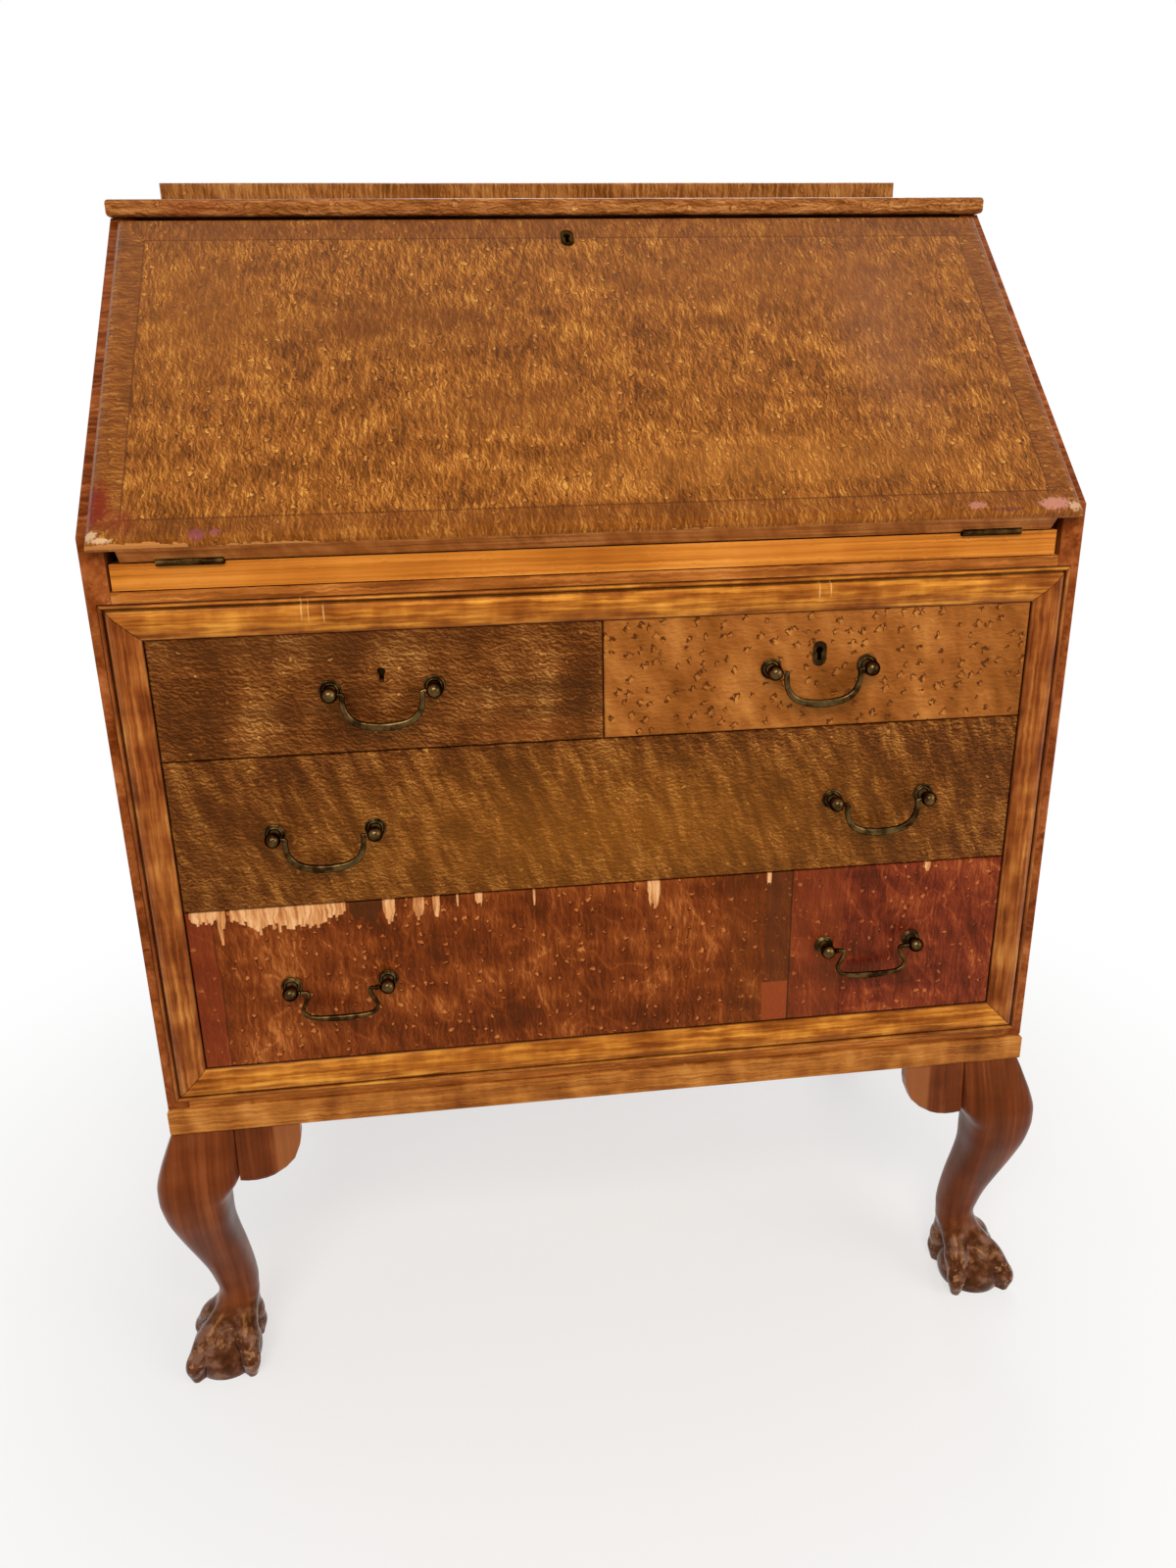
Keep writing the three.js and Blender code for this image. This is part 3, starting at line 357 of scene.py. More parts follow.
def splits(tree, u, depth, places, fibre=2.2):
    """Veneer lost from an edge: 1 where depth from the edge is less than the split's own depth at u.

    places are (centre, half width, depth) in mm. A split is deepest in its middle, and its lower rim follows the
    fibres: each fibre, about 2 mm wide, has broken at a length of its own.
    """
    strand = add(tree, "Math SNAP", u, fibre)
    bundle = add(tree, "Math SNAP", u, fibre * 4)
    luck = add(tree, "TexWhiteNoise", add(tree, "CombineXYZ", strand, 0.5, 0.0))
    wide = add(tree, "TexWhiteNoise", add(tree, "CombineXYZ", bundle, 3.5, 0.0))
    luck = weigh(tree, (luck, 0.45), (wide, 0.35), (1.0, 0.6))
    lost = 0.0
    for centre, half, deep in places:
        off = add(tree, "Math ABSOLUTE", add(tree, "Math SUBTRACT", u, centre))
        form = add(tree, "MapRange", off, half * 0.55, half, deep, deep * 0.55)
        inside = add(tree, "Math LESS_THAN", off, half)
        reach = add(tree, "Math MULTIPLY", form, inside)
        lost = add(tree, "Math MAXIMUM", lost, reach)
    return add(tree, "Math LESS_THAN", depth, add(tree, "Math MULTIPLY", lost, luck))


# %% [markdown]
# The fall is the desk's show piece: a sheet of bird's-eye veneer inside a dark line, with a band all round whose
# grain runs outwards to the edge and meets in mitres at the corners. The pattern is worked out on the slope's own
# axes: x along the hinge and s up the slope. The veneer is 1 mm thick on solid wood, which shows on the lower edge.

# %% The fall's slope
FALL = next(joint for joint in frame["joints"] if joint["name"] == "fall_hinge")
PIVOT = Vector(FALL["pos_m"])
SLOPE = math.radians(42.706)  # the closed fall rises backwards at this angle from level
print("the fall hangs at", [round(v, 4) for v in PIVOT])

# %% [markdown]
# The real fall was veneered piece by piece: the field first, then a dark string let in round it, then the band of
# short cross-grained pieces. Here one material tells them apart by how far a point lies outside the field. Ink, wet
# cups and knocks have stained it, and along the lower edge chips show the paler wood under the veneer.

# %% Fall veneer
FALL_MARKS = [
    ((-150, 215), (95, 30), "6e3a12", 0.45, 0.3, 0.5),
    ((-300, 230), (40, 70), "8a4f1c", 0.5, 0.3, 0.7),
    ((180, 265), (150, 40), "8a4f20", 0.4, 0.3, 0.7),
    ((255, 190), (34, 90), "8a5636", 0.45, 0.4, 0.6),
    ((-60, 120), (60, 24), "80481c", 0.35, 0.4, 0.6),
    ((130, 60), (120, 20), "b0702f", 0.3, 0.4, 0.7),
    ((-367, 36), (9, 19), "74180f", 0.85, 0.5, 0.4),
    ((-350, 20), (10, 10), "7c2a1c", 0.5, 0.6, 0.5),
    ((-296, 7), (6, 4), "83404c", 0.75, 0.5, 0.2),
    ((-283, 8.5), (3.5, 2.5), "93505c", 0.6, 0.5, 0.2),
    ((350, 9), (12, 5), "c58674", 0.8, 0.5, 0.2),
    ((287, 9), (7, 3), "bf7d6e", 0.7, 0.5, 0.2),
    ((311, 5), (13, 1.6), "5a2a2e", 0.7, 0.5, 0.3),
    ((366, 6), (5, 3.2), "cda684", 0.85, 0.5, 0.2),
    ((-369, 9), (4.5, 3.5), "d9b48c", 0.85, 0.6, 0.2),
    ((-361, 4.5), (6, 1.8), "d9b48c", 0.8, 0.6, 0.3),
]
FALL_TONES = ("4e2406", "73400f", "8c501c", "ab6a2b", "d69c48")
CORE_TONES = ("5c2d10", "7c4318", "935422", "aa6a34", "c08048")
FIELD_HALF, FIELD_LOW, FIELD_HIGH, STRING_HALF = 349.0, 21.5, 313.5, 0.6
VENEER_TOP, VENEER_EDGE = 21.4, 6.0
# chips along the lower edge: centre, half width and depth
FALL_CHIPS = [(-338, 36, 2.6), (-250, 40, 1.3), (60, 30, 0.9)]


def fall_veneer():
    """Old varnished bird's-eye veneer with stringing and crossbanding, golden brown under a worn shine."""
    material, tree, surface = new_material("birdseye_fall_veneer", 0.34)
    x, s, t = board_axes(tree, "deep", PIVOT, SLOPE)
    _, _, outside, at_end = outwards(tree, x, s, FIELD_HALF, FIELD_LOW, FIELD_HIGH)
    in_band = add(tree, "Math GREATER_THAN", outside, 0.0)
    at_end = add(tree, "Math MULTIPLY", at_end, in_band)
    across, along = add(tree, "Mix", at_end, x, s), add(tree, "Mix", at_end, s, x)
    marks = figure(tree, (across, along, t), (2.3, 13), 3.5, (10.5, 0.5, 2.0), (2.0, 6, 8), (9, 30, -25), 24, 0.3)
    tone = tone_of(tree, marks, (0.44, 0.4, 0.12, 0.34, 0.3, -0.5), (1.0, -0.18))
    colour = tint(tree, tone, FALL_TONES)
    colour = lay(tree, colour, "6e3813", in_band, 0.4)
    stringing = add(tree, "Math COMPARE", outside, 0.0, STRING_HALF)
    colour = lay(tree, colour, "4a210c", stringing, 0.6)
    colour = lay_marks(tree, colour, x, s, FALL_MARKS)
    depth = add(tree, "Math SUBTRACT", VENEER_TOP, t)
    bare = splits(tree, x, s, FALL_CHIPS, 3.0)
    bare = add(tree, "Math MULTIPLY", bare, add(tree, "Math LESS_THAN", depth, VENEER_EDGE))
    colour = lay(tree, colour, "b9793f", bare)
    core = figure(tree, (t, x, s), (2.6, 120), 1.5, (13, 0.0, 2))
    core_tone = tone_of(tree, core, (0.4, 0, 0.2, 0.4))
    in_core = add(tree, "MapRange", depth, VENEER_EDGE, VENEER_EDGE + 1)
    colour = add(tree, "Mix", in_core, colour, tint(tree, core_tone, CORE_TONES), data_type="RGBA")
    polish(tree, surface, colour, marks, 0.28, 0.34, 0.22, add(tree, "Math ADD", stringing, bare))
    return material


# %% [markdown]
# The other boards use the same figure with their own grain direction, palette and density of eyes, so one function
# makes them all. A palette is five tones from the darkest pore to the palest fleck, and the weights say how much each
# kind of mark counts, in the order of KINDS.
#
# The sides are a plain red-brown veneer whose gloss has gone. Of the drawers, the top left one is nearly black with
# short pale curls, the top right one pale with wide-set eyes, and the middle one mottled like a burr. Rails and plinth
# are solid wood with long grain, and the bed and the inside are plain softwood.

# %% Board finishes
PLAIN = (0.45, 0, 0.2, 0.35)
BOARD_BUMP, BOARD_GLOSS, BOARD_SPREAD = 0.2, 0.36, 0.16
DARK_STAINS = [
    ((-250, 684), (130, 14), "3c1c0a", 0.45, 0.3, 0.6),
    ((-50, 640), (60, 7), "2e1406", 0.55, 0.4, 0.6),
    ((-20, 622), (50, 6), "2e1406", 0.5, 0.4, 0.6),
    ((-260, 630), (60, 6), "3c1c0a", 0.4, 0.4, 0.8),
    ((-60, 605), (40, 8), "8a4a1c", 0.3, 0.4, 0.8),
]
# the broad lighter oval across the middle of the mottled drawer is a painted highlight; the dark oval at its left is a
# stain
MOTTLED_HIGHLIGHT_AND_STAIN = [((10, 515), (180, 46), "a4641a", 0.3, 0.2, 0.9), ((-300, 540), (50, 60), "4a2208", 0.3, 0.3, 0.8)]


def board(name, direction, palette, weights=PLAIN, patches=(), shine=POLISH_SHINE, **pattern):
    """A varnished board. patches are ovals, as for lay_marks, at x and z in mm from the floor."""
    material, tree, surface = new_material(name, BOARD_GLOSS)
    marks = figure(tree, board_axes(tree, direction), **pattern)
    colour = tint(tree, tone_of(tree, marks, weights), palette)
    if patches:
        x, z, _ = board_axes(tree, "upright")
        colour = lay_marks(tree, colour, x, z, patches)
    polish(tree, surface, colour, marks, BOARD_BUMP, BOARD_GLOSS, BOARD_SPREAD, shine=shine)
    return material


finishes = {
    "top_board": board(
        "top_board_veneer", "level", ("4a2408", "6d3913", "8d5428", "ab6f3c", "cf9858"),
        (0.4, 0.3, 0.1, 0.2, 0.2, -0.3), [((-310, 950), (34, 90), "7a2c18", 0.35, 0.4, 0.5)],
    ),
    "gallery": board(
        "gallery_crossband", "upright", ("4a2408", "6f3d14", "91592a", "ae753e", "cc9a60"),
        (0.36, 0.2, 0.14, 0.3, 0.2, -0.2), eyes=(13, 0.2, 2),
    ),
    "side": board(
        "side_veneer", "side_upright", ("4a1c06", "682d0b", "84421b", "9c5629", "ba7a46"),
        (0.46, 0.14, 0.2, 0.2), shine=0.12, bands=(14, 120, 4),
    ),
    "bed": board(
        "bed_softwood", "level", ("8a4410", "a8601d", "bc7026", "cb7f30", "dc9444"),
        pores=(2.2, 260), curl=0.7, bands=(12, 160, 0), cloud=80,
    ),
    "rail": board(
        "rail_solid_wood", "level", ("5a2a0c", "7c4116", "96541f", "b36c2e", "cd8c4a"),
        pores=(2.6, 110), bands=(9, 120, 0),
    ),
    "plinth": board(
        "plinth_solid_wood", "level", ("5c2a0e", "85491a", "a36226", "bc7a38", "d8a058"),
        (0.35, 0, 0.15, 0.4), pores=(2.2, 60), curl=3, bands=(14, 30, 70), cloud=30,
    ),
    "drawer_dark": board(
        "dark_streaked_drawer_veneer", "level", ("281003", "401d07", "5f3110", "824d20", "c48e4c"),
        (0.16, 0.36, 0.1, 0.38, 0.25, -0.15), DARK_STAINS,
        pores=(2.0, 34), flecks=(2.2, 5.5, 14), bands=(18, 40, 72), cloud=30, eyes=(10, 0.3, 1.5),
    ),
    "drawer_light": board(
        "light_birdseye_drawer_veneer", "level", ("4e260c", "7c4516", "8f5220", "a1622a", "bd7c3a"),
        (0.1, 0.16, 0.26, 0.48, 0.22, -1.3),
        pores=(2.4, 34), bands=(14, 50, 55), eyes=(10.5, 0.6, 2.6), cloud=30, lean=0.6,
    ),
    "drawer_mottled": board(
        "mottled_burr_drawer_veneer", "level", ("240d04", "3e1c08", "5b2f10", "7c481a", "b67f3c"),
        (0.12, 0.4, 0.34, 0.18, 0.2, -0.1), MOTTLED_HIGHLIGHT_AND_STAIN,
        pores=(2.0, 26), flecks=(2.0, 4.5, 0), bands=(8, 34, 68), eyes=(9, 0.35, 1.6), curl=4,
    ),
    "inside": board(
        "inside_softwood", "level", ("83592f", "956838", "a37541", "b0834d", "c09660"),
        pores=(2.6, 240), curl=1.5, bands=(16, 300, 0), cloud=90,
    ),
}
finishes["fall"] = fall_veneer()
print("wood finishes so far:", len(finishes))

# %% [markdown]
# The lowest drawer is the most worn. Its veneer is a red-brown sheet with upright grain and pale drop-shaped eyes. On
# the right a crimson sheet begins at a seam, with a darker strip and a patch beside it. Along the top edge the veneer
# has split off in long splinters, and the pale wood under it shows.

# %% Lowest drawer
# veneer that has split off the top edge: centre, half width and depth
SPLINTERS = [
    (-331, 11, 10), (-317, 3.5, 23), (-264, 46, 17), (-183, 5, 16), (-159, 4.5, 17), (-144.5, 3, 18), (-127, 0.9, 9),
    (-109.5, 3, 12), (-63.5, 1.0, 12), (37.5, 5.5, 22), (137.5, 2.0, 9), (278, 2.5, 7),
]
DARK_SPLIT = [(-202, 13, 14)]
RED_TONES = ("381204", "501c07", "6a2c0d", "833f17", "b96e36")
CRIMSON_TONES = ("340c06", "4f170c", "6a2414", "84381c", "b0622f")
# the crimson sheet's seam, and the patch to the left of it: its middle, half its width and its top
SEAM, SEAM_HALF = 158.0, 0.7
PATCH_MIDDLE, PATCH_HALF, PATCH_TOP = 146.5, 12.0, 362.0
# strips of the red sheet, and strips over both sheets: centre, half width, colour and strength
RED_STRIPS = [(118, 17, "5a2a0c", 0.3), (148, 11.5, "4c2410", 0.6)]
LATER_STRIPS = [(182, 23, "7c3818", 0.3), (-345, 22, "7c2c18", 0.5), (-322.5, 0.8, "3a140a", 0.6)]


def lowest_drawer_veneer():
    """Red-brown bird's-eye veneer in three sheets, its top edge broken away in splinters."""
    material, tree, surface = new_material("worn_red_drawer_veneer", 0.34)
    x, z, y = board_axes(tree, "upright")
    marks = figure(tree, (x, z, y), (2.4, 26), 3.0, (9.5, 0.5, 1.9), (2.4, 7, 0), (12, 50, 20), 30, 0.7)
    # the veil is a net of thin paler lines that wander over the sheet
    veil = streaks(tree, add(tree, "CombineXYZ", x, z, 0.0), 34, 60, 15, 2.0, 0.6)
    veil = ridge(tree, add(tree, "Math SUBTRACT", veil, 0.5), 0.035)
    tone = tone_of(tree, marks, (0.22, 0.16, 0.2, 0.42, 0.5, -0.4), (veil, 0.16))
    colour = tint(tree, tone, RED_TONES)
    sway = add(tree, "Math MULTIPLY_ADD", marks["bands"], 2.5, x)
    colour = lay_strips(tree, colour, sway, RED_STRIPS)
    low = add(tree, "Math LESS_THAN", z, PATCH_TOP)
    patch = add(tree, "Math COMPARE", x, PATCH_MIDDLE, PATCH_HALF)
    colour = lay(tree, colour, "93401f", add(tree, "Math MULTIPLY", patch, low), 0.75)
    crimson = add(tree, "Math GREATER_THAN", x, SEAM)
    colour = add(tree, "Mix", crimson, colour, tint(tree, tone, CRIMSON_TONES), data_type="RGBA")
    colour = lay_strips(tree, colour, sway, LATER_STRIPS)
    colour = lay_strips(tree, colour, x, [(SEAM, SEAM_HALF, "2a1006", 0.8)])
    depth = add(tree, "Math SUBTRACT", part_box("drawer_lower_front")[1].z / MM, z)
    colour = lay(tree, colour, "3c1c0a", splits(tree, x, depth, DARK_SPLIT, 3.0), 0.8)
    bare = splits(tree, x, depth, SPLINTERS)
    pale = tint(tree, marks["pores"], ("a8683a", "cf8f58", "e8b884"), (0.0, 0.45, 1.0))
    colour = add(tree, "Mix", bare, colour, pale, data_type="RGBA")
    polish(tree, surface, colour, marks, 0.3, 0.34, 0.18, bare)
    return material


finishes["drawer_red"] = lowest_drawer_veneer()

# %% [markdown]
# The moulding that frames the drawers is solid wood, scratched with a moulding iron. Its colour comes from its section
# as much as from its grain: dark lines are painted in the quirk, the narrow groove near its outer edge, along its
# inner and outer edges and in the mitres, as painted shade in those hollows and joints together with wax and dirt. How
# far a point is from the opening gives its place in the section.

# %% Frame moulding
OPENING_HALF, QUIRK, OUTER_EDGE = 346.0, 23.7, 28.0
RAIL_TONES = ("481c08", "7a3d10", "a05c1e", "c8822e", "eeb04e")
SCRATCHES = [
    ((-229, 711), (0.6, 7), "dcae6c", 0.7, 0.2, 0.5),
    ((-224, 709), (0.5, 8), "dcae6c", 0.5, 0.2, 0.5),
    ((-213, 707), (0.5, 6), "dcae6c", 0.7, 0.2, 0.5),
    ((167, 708), (0.6, 6), "dcae6c", 0.6, 0.2, 0.5),
    ((176, 710), (0.6, 5), "dcae6c", 0.7, 0.2, 0.5),
]
STILE_TONES = ("3c1608", "652c0f", "87461c", "a5622c", "cc9448")


def moulding_wood():
    """Honey-coloured solid wood with painted shade and dirt in its grooves and joints, and grain that turns the mitred
    corners with the moulding.
    """
    material, tree, surface = new_material("frame_moulding_wood", 0.26)
    x, z, y = board_axes(tree, "upright")
    sill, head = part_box("frame_moulding_bottom")[1].z / MM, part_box("frame_moulding_top")[0].z / MM
    beside, over, out, stile = outwards(tree, x, z, OPENING_HALF, sill, head)
    across, along = add(tree, "Mix", stile, z, x), add(tree, "Mix", stile, x, z)
    marks = figure(tree, (across, along, y), (2.4, 110), 1.5, (13, 0.0, 2), bands=(5, 45, 0), cloud=24)
    tone = tone_of(tree, marks, (0.3, 0, 0.3, 0.28), (1.0, 0.07))
    colour = add(tree, "Mix", stile, tint(tree, tone, RAIL_TONES), tint(tree, tone, STILE_TONES), data_type="RGBA")
    # painted shade and dirt: dark lines in the quirk, at the outer and inner edges and along the mitres
    quirk = ridge(tree, add(tree, "Math SUBTRACT", out, QUIRK), 1.9)
    rim = ridge(tree, add(tree, "Math SUBTRACT", out, OUTER_EDGE), 1.6)
    lip = ridge(tree, out, 1.3)
    mitre = ridge(tree, add(tree, "Math SUBTRACT", beside, over), 0.8)
    mitre = add(tree, "Math MULTIPLY", mitre, 0.7)
    groove_shade_and_dirt = add(tree, "Math MAXIMUM", quirk, add(tree, "Math MAXIMUM", rim, lip))
    colour = lay(tree, colour, "2c0f06", add(tree, "Math MAXIMUM", groove_shade_and_dirt, mitre), 0.85)
    colour = lay_marks(tree, colour, x, z, SCRATCHES)
    polish(tree, surface, colour, marks, 0.12, 0.26, 0.12)
    return material


finishes["moulding"] = moulding_wood()

# %% [markdown]
# The legs are carved from solid wood under a red-brown polish. The foot is darker and shinier than the shaft, because
# feet and floor polish have handled it, and its ridges are chipped pale. The leg's own surface will say where its foot
# and its ridges are, so the finish reads those two marks. The ear glued beside the knee is another block of the same
# wood, and its tip has worn lighter.

# %% Leg wood
LEG_TONES = ("3e1507", "52210c", "642c13", "773b1d", "8e4f2c")
FOOT_TONES = ("2c140a", "472413", "5d3828", "7c5a4a")
EAR_TIP = 297.0


def leg_wood(name, tip=False):
    """Polished solid wood: upright grain, a dark foot with a grey bloom, and chipped pale ridges."""
    material, tree, surface = new_material(name, 0.3)
    axes = board_axes(tree, "upright")
    marks = figure(tree, axes, (2.4, 150), 1.2, (13, 0.0, 2), bands=(9, 160, 2), cloud=50)
    tone = tone_of(tree, marks, (0.18, 0, 0.3, 0.42), (1.0, 0.05))
    colour = tint(tree, tone, LEG_TONES)
    if tip:
        inwards = add(tree, "Math ABSOLUTE", axes[0])
        at_tip = add(tree, "MapRange", inwards, EAR_TIP + 1.5, EAR_TIP - 1.5)
        colour = lay(tree, colour, "a8683c", at_tip, 0.5)
    foot = add(tree, "Attribute", attribute_name="foot").outputs["Fac"]
    ridges = add(tree, "Attribute", attribute_name="ridge").outputs["Fac"]
    here = add(tree, "CombineXYZ", *axes)
    lumps = add(tree, "MapRange", add(tree, "TexNoise", here, {"Scale": 0.09, "Detail": 3.0}), 0.36, 0.64)
    skin = tint(tree, lumps, FOOT_TONES, (0.0, 0.35, 0.65, 1.0))
    colour = add(tree, "Mix", add(tree, "Math MULTIPLY", foot, 0.85), colour, skin, data_type="RGBA")
    nicks = add(tree, "MapRange", add(tree, "TexNoise", here, {"Scale": 0.16, "Detail": 3.0}), 0.56, 0.6)
    nicks = add(tree, "Math MULTIPLY", nicks, ridges)
    colour = lay(tree, colour, "b08058", nicks, 0.6)
    polish(tree, surface, colour, marks, 0.2, 0.3, 0.12, add(tree, "Math MULTIPLY", lumps, foot))
    # the foot decides a leg's roughness, in place of the clouds
    gloss = add(tree, "Math MULTIPLY_ADD", foot, -0.12, 0.3)
    wire(tree, gloss, surface.inputs["Roughness"])
    return material


finishes["leg"] = leg_wood("leg_solid_wood")
finishes["ear"] = leg_wood("knee_ear_wood", tip=True)
print("wood finishes:", len(finishes))

# %% [markdown]
# The mounts are cast brass that nobody has cleaned for a century: a brown-black skin over yellow metal, rubbed
# brighter where fingers touch it. A metal's colour is the tint of its reflections, so the skin is a dark brown metal.
# The casting was filed smooth, so its highlights are small and crisp.

# %% Brass and steel
def aged_metal(name, skin, rubbed, roughness):
    """Metal with a dark skin. Slow noise, about 9 mm, decides where it has been rubbed."""
    material, tree, surface = new_material(name, roughness, 1.0)
    coordinates = add(tree, "TexCoord").outputs["Object"]
    noise = add(tree, "TexNoise", coordinates, {"Scale": 110.0, "Detail": 4.0})
    worn = add(tree, "MapRange", noise, 0.4, 0.72)
    wire(tree, add(tree, "Mix", worn, linear(skin), linear(rubbed), data_type="RGBA"), surface.inputs["Base Color"])
    uneven = add(tree, "Math MULTIPLY_ADD", noise, 0.25, roughness - 0.12)
    wire(tree, uneven, surface.inputs["Roughness"])
    bump = add(tree, "Bump", {"Height": noise.outputs["Fac"], "Strength": 0.5, "Distance": 0.04 * MM})
    wire(tree, bump, surface.inputs["Normal"])
    surface.inputs["Specular Tint"].default_value = linear("b89468")
    return material


finishes["brass"] = aged_metal("old_brass_skin", "2a1c0c", "6c5430", 0.16)
finishes["hinge_brass"] = aged_metal("dirty_hinge_brass", "241608", "57401f", 0.45)
finishes["lock_brass"] = aged_metal("lock_brass", "2a1c0c", "5a4422", 0.5)
finishes["steel"] = aged_metal("dull_iron", "3a3a3c", "5c5c60", 0.45)
print("nodes in each finish:", {name: len(finish.node_tree.nodes) for name, finish in finishes.items()})

# %% [markdown]
# Each node of the frame now takes its finish. A node whose shape is already right keeps it.

# %% Give the nodes their finishes
# a part of a node's name, and the finish that it wears
WEARS = {
    "fall_panel": "fall",
    "top_board": "top_board",
    "gallery": "gallery",
    "side_": "side",
    "frame_moulding": "moulding",
    "_rail": "rail",
    "plinth": "plinth",
    "bed_board": "bed",
    "drawer_upper_left_front": "drawer_dark",
    "drawer_upper_right_front": "drawer_light",
    "drawer_middle_front": "drawer_mottled",
    "drawer_lower_front": "drawer_red",
    "leg_": "leg",
    "knee_": "ear",
    "handle_": "brass",
    "hinge_": "hinge_brass",
    "stay_": "steel",
    "_lock": "lock_brass",
}
for name, node in frame["nodes"].items():
    wears = next((finish for part, finish in WEARS.items() if part in name), "inside")
    node.data.materials.clear()
    node.data.materials.append(finishes[wears])
dressed = [name for name in frame["nodes"] if any(part in name for part in WEARS)]
print("dressed:", len(dressed), "of", len(frame["nodes"]))

# %% [markdown]
# New pieces are worked out as grids of points. A grid has rows and columns, its faces join neighbouring points, and
# a closed skin wraps its columns round. Ends are closed by a point in the middle of the first and the last row.

# %% Skins from grids
def skin_faces(rows, columns):
    """Four-sided faces of a grid whose columns wrap round, and the triangles that close both ends."""
    row, column = np.meshgrid(np.arange(rows - 1), np.arange(columns), indexing="ij")
    here = row * columns + column
    beside = row * columns + (column + 1) % columns
    sides = np.stack([here, beside, beside + columns, here + columns], -1).reshape(-1, 4)
    turn = np.arange(columns)
    after = (turn + 1) % columns
    last = (rows - 1) * columns
    low = np.stack([after, turn, np.full(columns, rows * columns)], -1)
    high = np.stack([last + turn, last + after, np.full(columns, rows * columns + 1)], -1)
    return sides.tolist() + low.tolist() + high.tolist()


def closed_skin(name, grid, finish, sharp=35.0, **marks):
    """A closed piece from a grid of points in metres, shaped (rows, columns, 3).

    The columns run anticlockwise as seen from the last row, so that the faces look outwards. Edges of more than sharp
    degrees stay crisp. marks hold a number for each point of the grid, and stay on the mesh for its finish to read.
    """
    rows, columns = grid.shape[:2]
    ends = np.stack([grid[0].mean(0), grid[-1].mean(0)])
    points = np.concatenate([grid.reshape(-1, 3), ends])
    mesh = bpy.data.meshes.new(name)
    mesh.from_pydata(points.tolist(), [], skin_faces(rows, columns))
    for mark, values in marks.items():
        flat = np.concatenate([values.reshape(-1), [values[0].mean(), values[-1].mean()]]).astype(np.float32)
        mesh.attributes.new(mark, "FLOAT", "POINT").data.foreach_set("value", flat)
    mesh.shade_smooth()
    mesh.set_sharp_from_angle(angle=math.radians(sharp))
    mesh.materials.append(finish)
    piece = bpy.data.objects.new(name, mesh)
    bpy.context.scene.collection.objects.link(piece)
    return piece


def smooth_through(places, values, wanted):
    """A smooth curve through (place, value) pairs: between two pairs it is the cubic with the chords' mean slopes."""
    places, values = np.array(places, float), np.array(values, float)
    slopes = np.gradient(values, places)
    span = np.clip(np.searchsorted(places, wanted) - 1, 0, len(places) - 2)
    gap = places[span + 1] - places[span]
    t = np.clip((wanted - places[span]) / gap, 0, 1)
    start = (1 + 2 * t) * (1 - t) ** 2 * values[span] + t * (1 - t) ** 2 * gap * slopes[span]
    end = t**2 * (3 - 2 * t) * values[span + 1] + t**2 * (t - 1) * gap * slopes[span + 1]
    return start + end


def ease(value, low, high):
    """0 below low, 1 above high and a smooth S between them."""
    t = np.clip((value - low) / (high - low), 0, 1)
    return t * t * (3 - 2 * t)


# %% [markdown]
# A cabriole leg is sawn from a square post on two faces and rounded, so its middle moves out and in along both axes
# at once. Its foot is a ball held by four talons, all carved from the same post. Seen from its own middle line the
# leg has one surface in each direction, so it can be written as a distance from that line that depends on the height
# and the direction. The shaft, the ball and each talon give such a distance, and the leg takes the greatest of them,
# with the hollows between them filled a little, as a gouge leaves them.

# %% The leg's numbers
LEG_HEIGHT, FOOT_TOP = 262.7, 80.0
BALL_RADIUS, BALL_HEIGHT, BALL_SHIFT = 32.0, 12.0, 10.5
# height, how far the middle has moved out on both axes, half the width and the power of the rounded square
LEG_STATIONS = np.array([
    (0, 10.5, 8, 2), (24, 9.9, 18.2, 2), (44, 2.1, 19.5, 2.1), (60, -3.0, 19.5, 2.1), (74, -4.5, 18.3, 2.2),
    (88, -3.1, 18.9, 2.4), (104, -0.4, 19.8, 2.6), (122, 3.6, 21.3, 2.8), (140, 8.0, 22.8, 3), (158, 11.9, 24.6, 3.2),
    (175, 14.3, 27.1, 3.4), (188, 15.3, 28.4, 3.6), (197, 15.0, 29.8, 3.8), (205, 12.3, 32.6, 4.2),
    (213, 9.6, 35.0, 4.6), (228, 7.3, 33.1, 5.5), (245, 3.8, 29.8, 8), (LEG_HEIGHT, 0, 26, 16),
])
# out from the middle, height and radius along a talon, from the ankle to the claw, and how far its root leans
TALON = np.array([
    (7, 58, 10.4, -3.0), (13, 49, 11.2, -0.3), (20, 40, 11.4, 3.8), (27, 31, 11.0, 7.1), (32.6, 23, 9.8, 9.2),
    (35.6, 16, 8.2, 10.5), (36.3, 9, 6.8, 10.5), (35.2, 2.5, 5.0, 10.5),
])
TALON_TURNS = np.radians([-45, 45, 135, 225])
# The carving: the share by which knuckles swell a talon, and the web between two talons in mm, as its hem's height at
# a talon, how much higher the hem is between two, its thickness over the ball, and its tendons' and cuts' depths.
KNUCKLES = 0.07
HEM, HEM_ARCH, WEB_THICKNESS, TENDON_DEPTH, GOUGE_DEPTH = 27, 9, 2.6, 1.3, 0.5

# %% [markdown]
# A level cut through the ball is a disc, and a level cut through a talon is a row of discs along its middle line. A
# ray from the leg's own middle leaves each disc at a known distance. The last steps are the carver's: a web of skin
# with a scalloped hem hangs between the talons, tendons run down it, and a gouge has left shallow cuts.

# %% The leg's surface
def ray_to_disc(directions, middle, centre, radius):
    """Where rays from middle leave a disc: the centre's reach along the ray plus half the chord, or 0 on a miss."""
    offset = centre - middle
    along = (offset * directions).sum(-1)
    past = radius**2 - ((offset**2).sum(-1) - along**2)
    return np.where((past > 0) & (radius > 0.05), along + np.sqrt(np.maximum(past, 0)), 0)


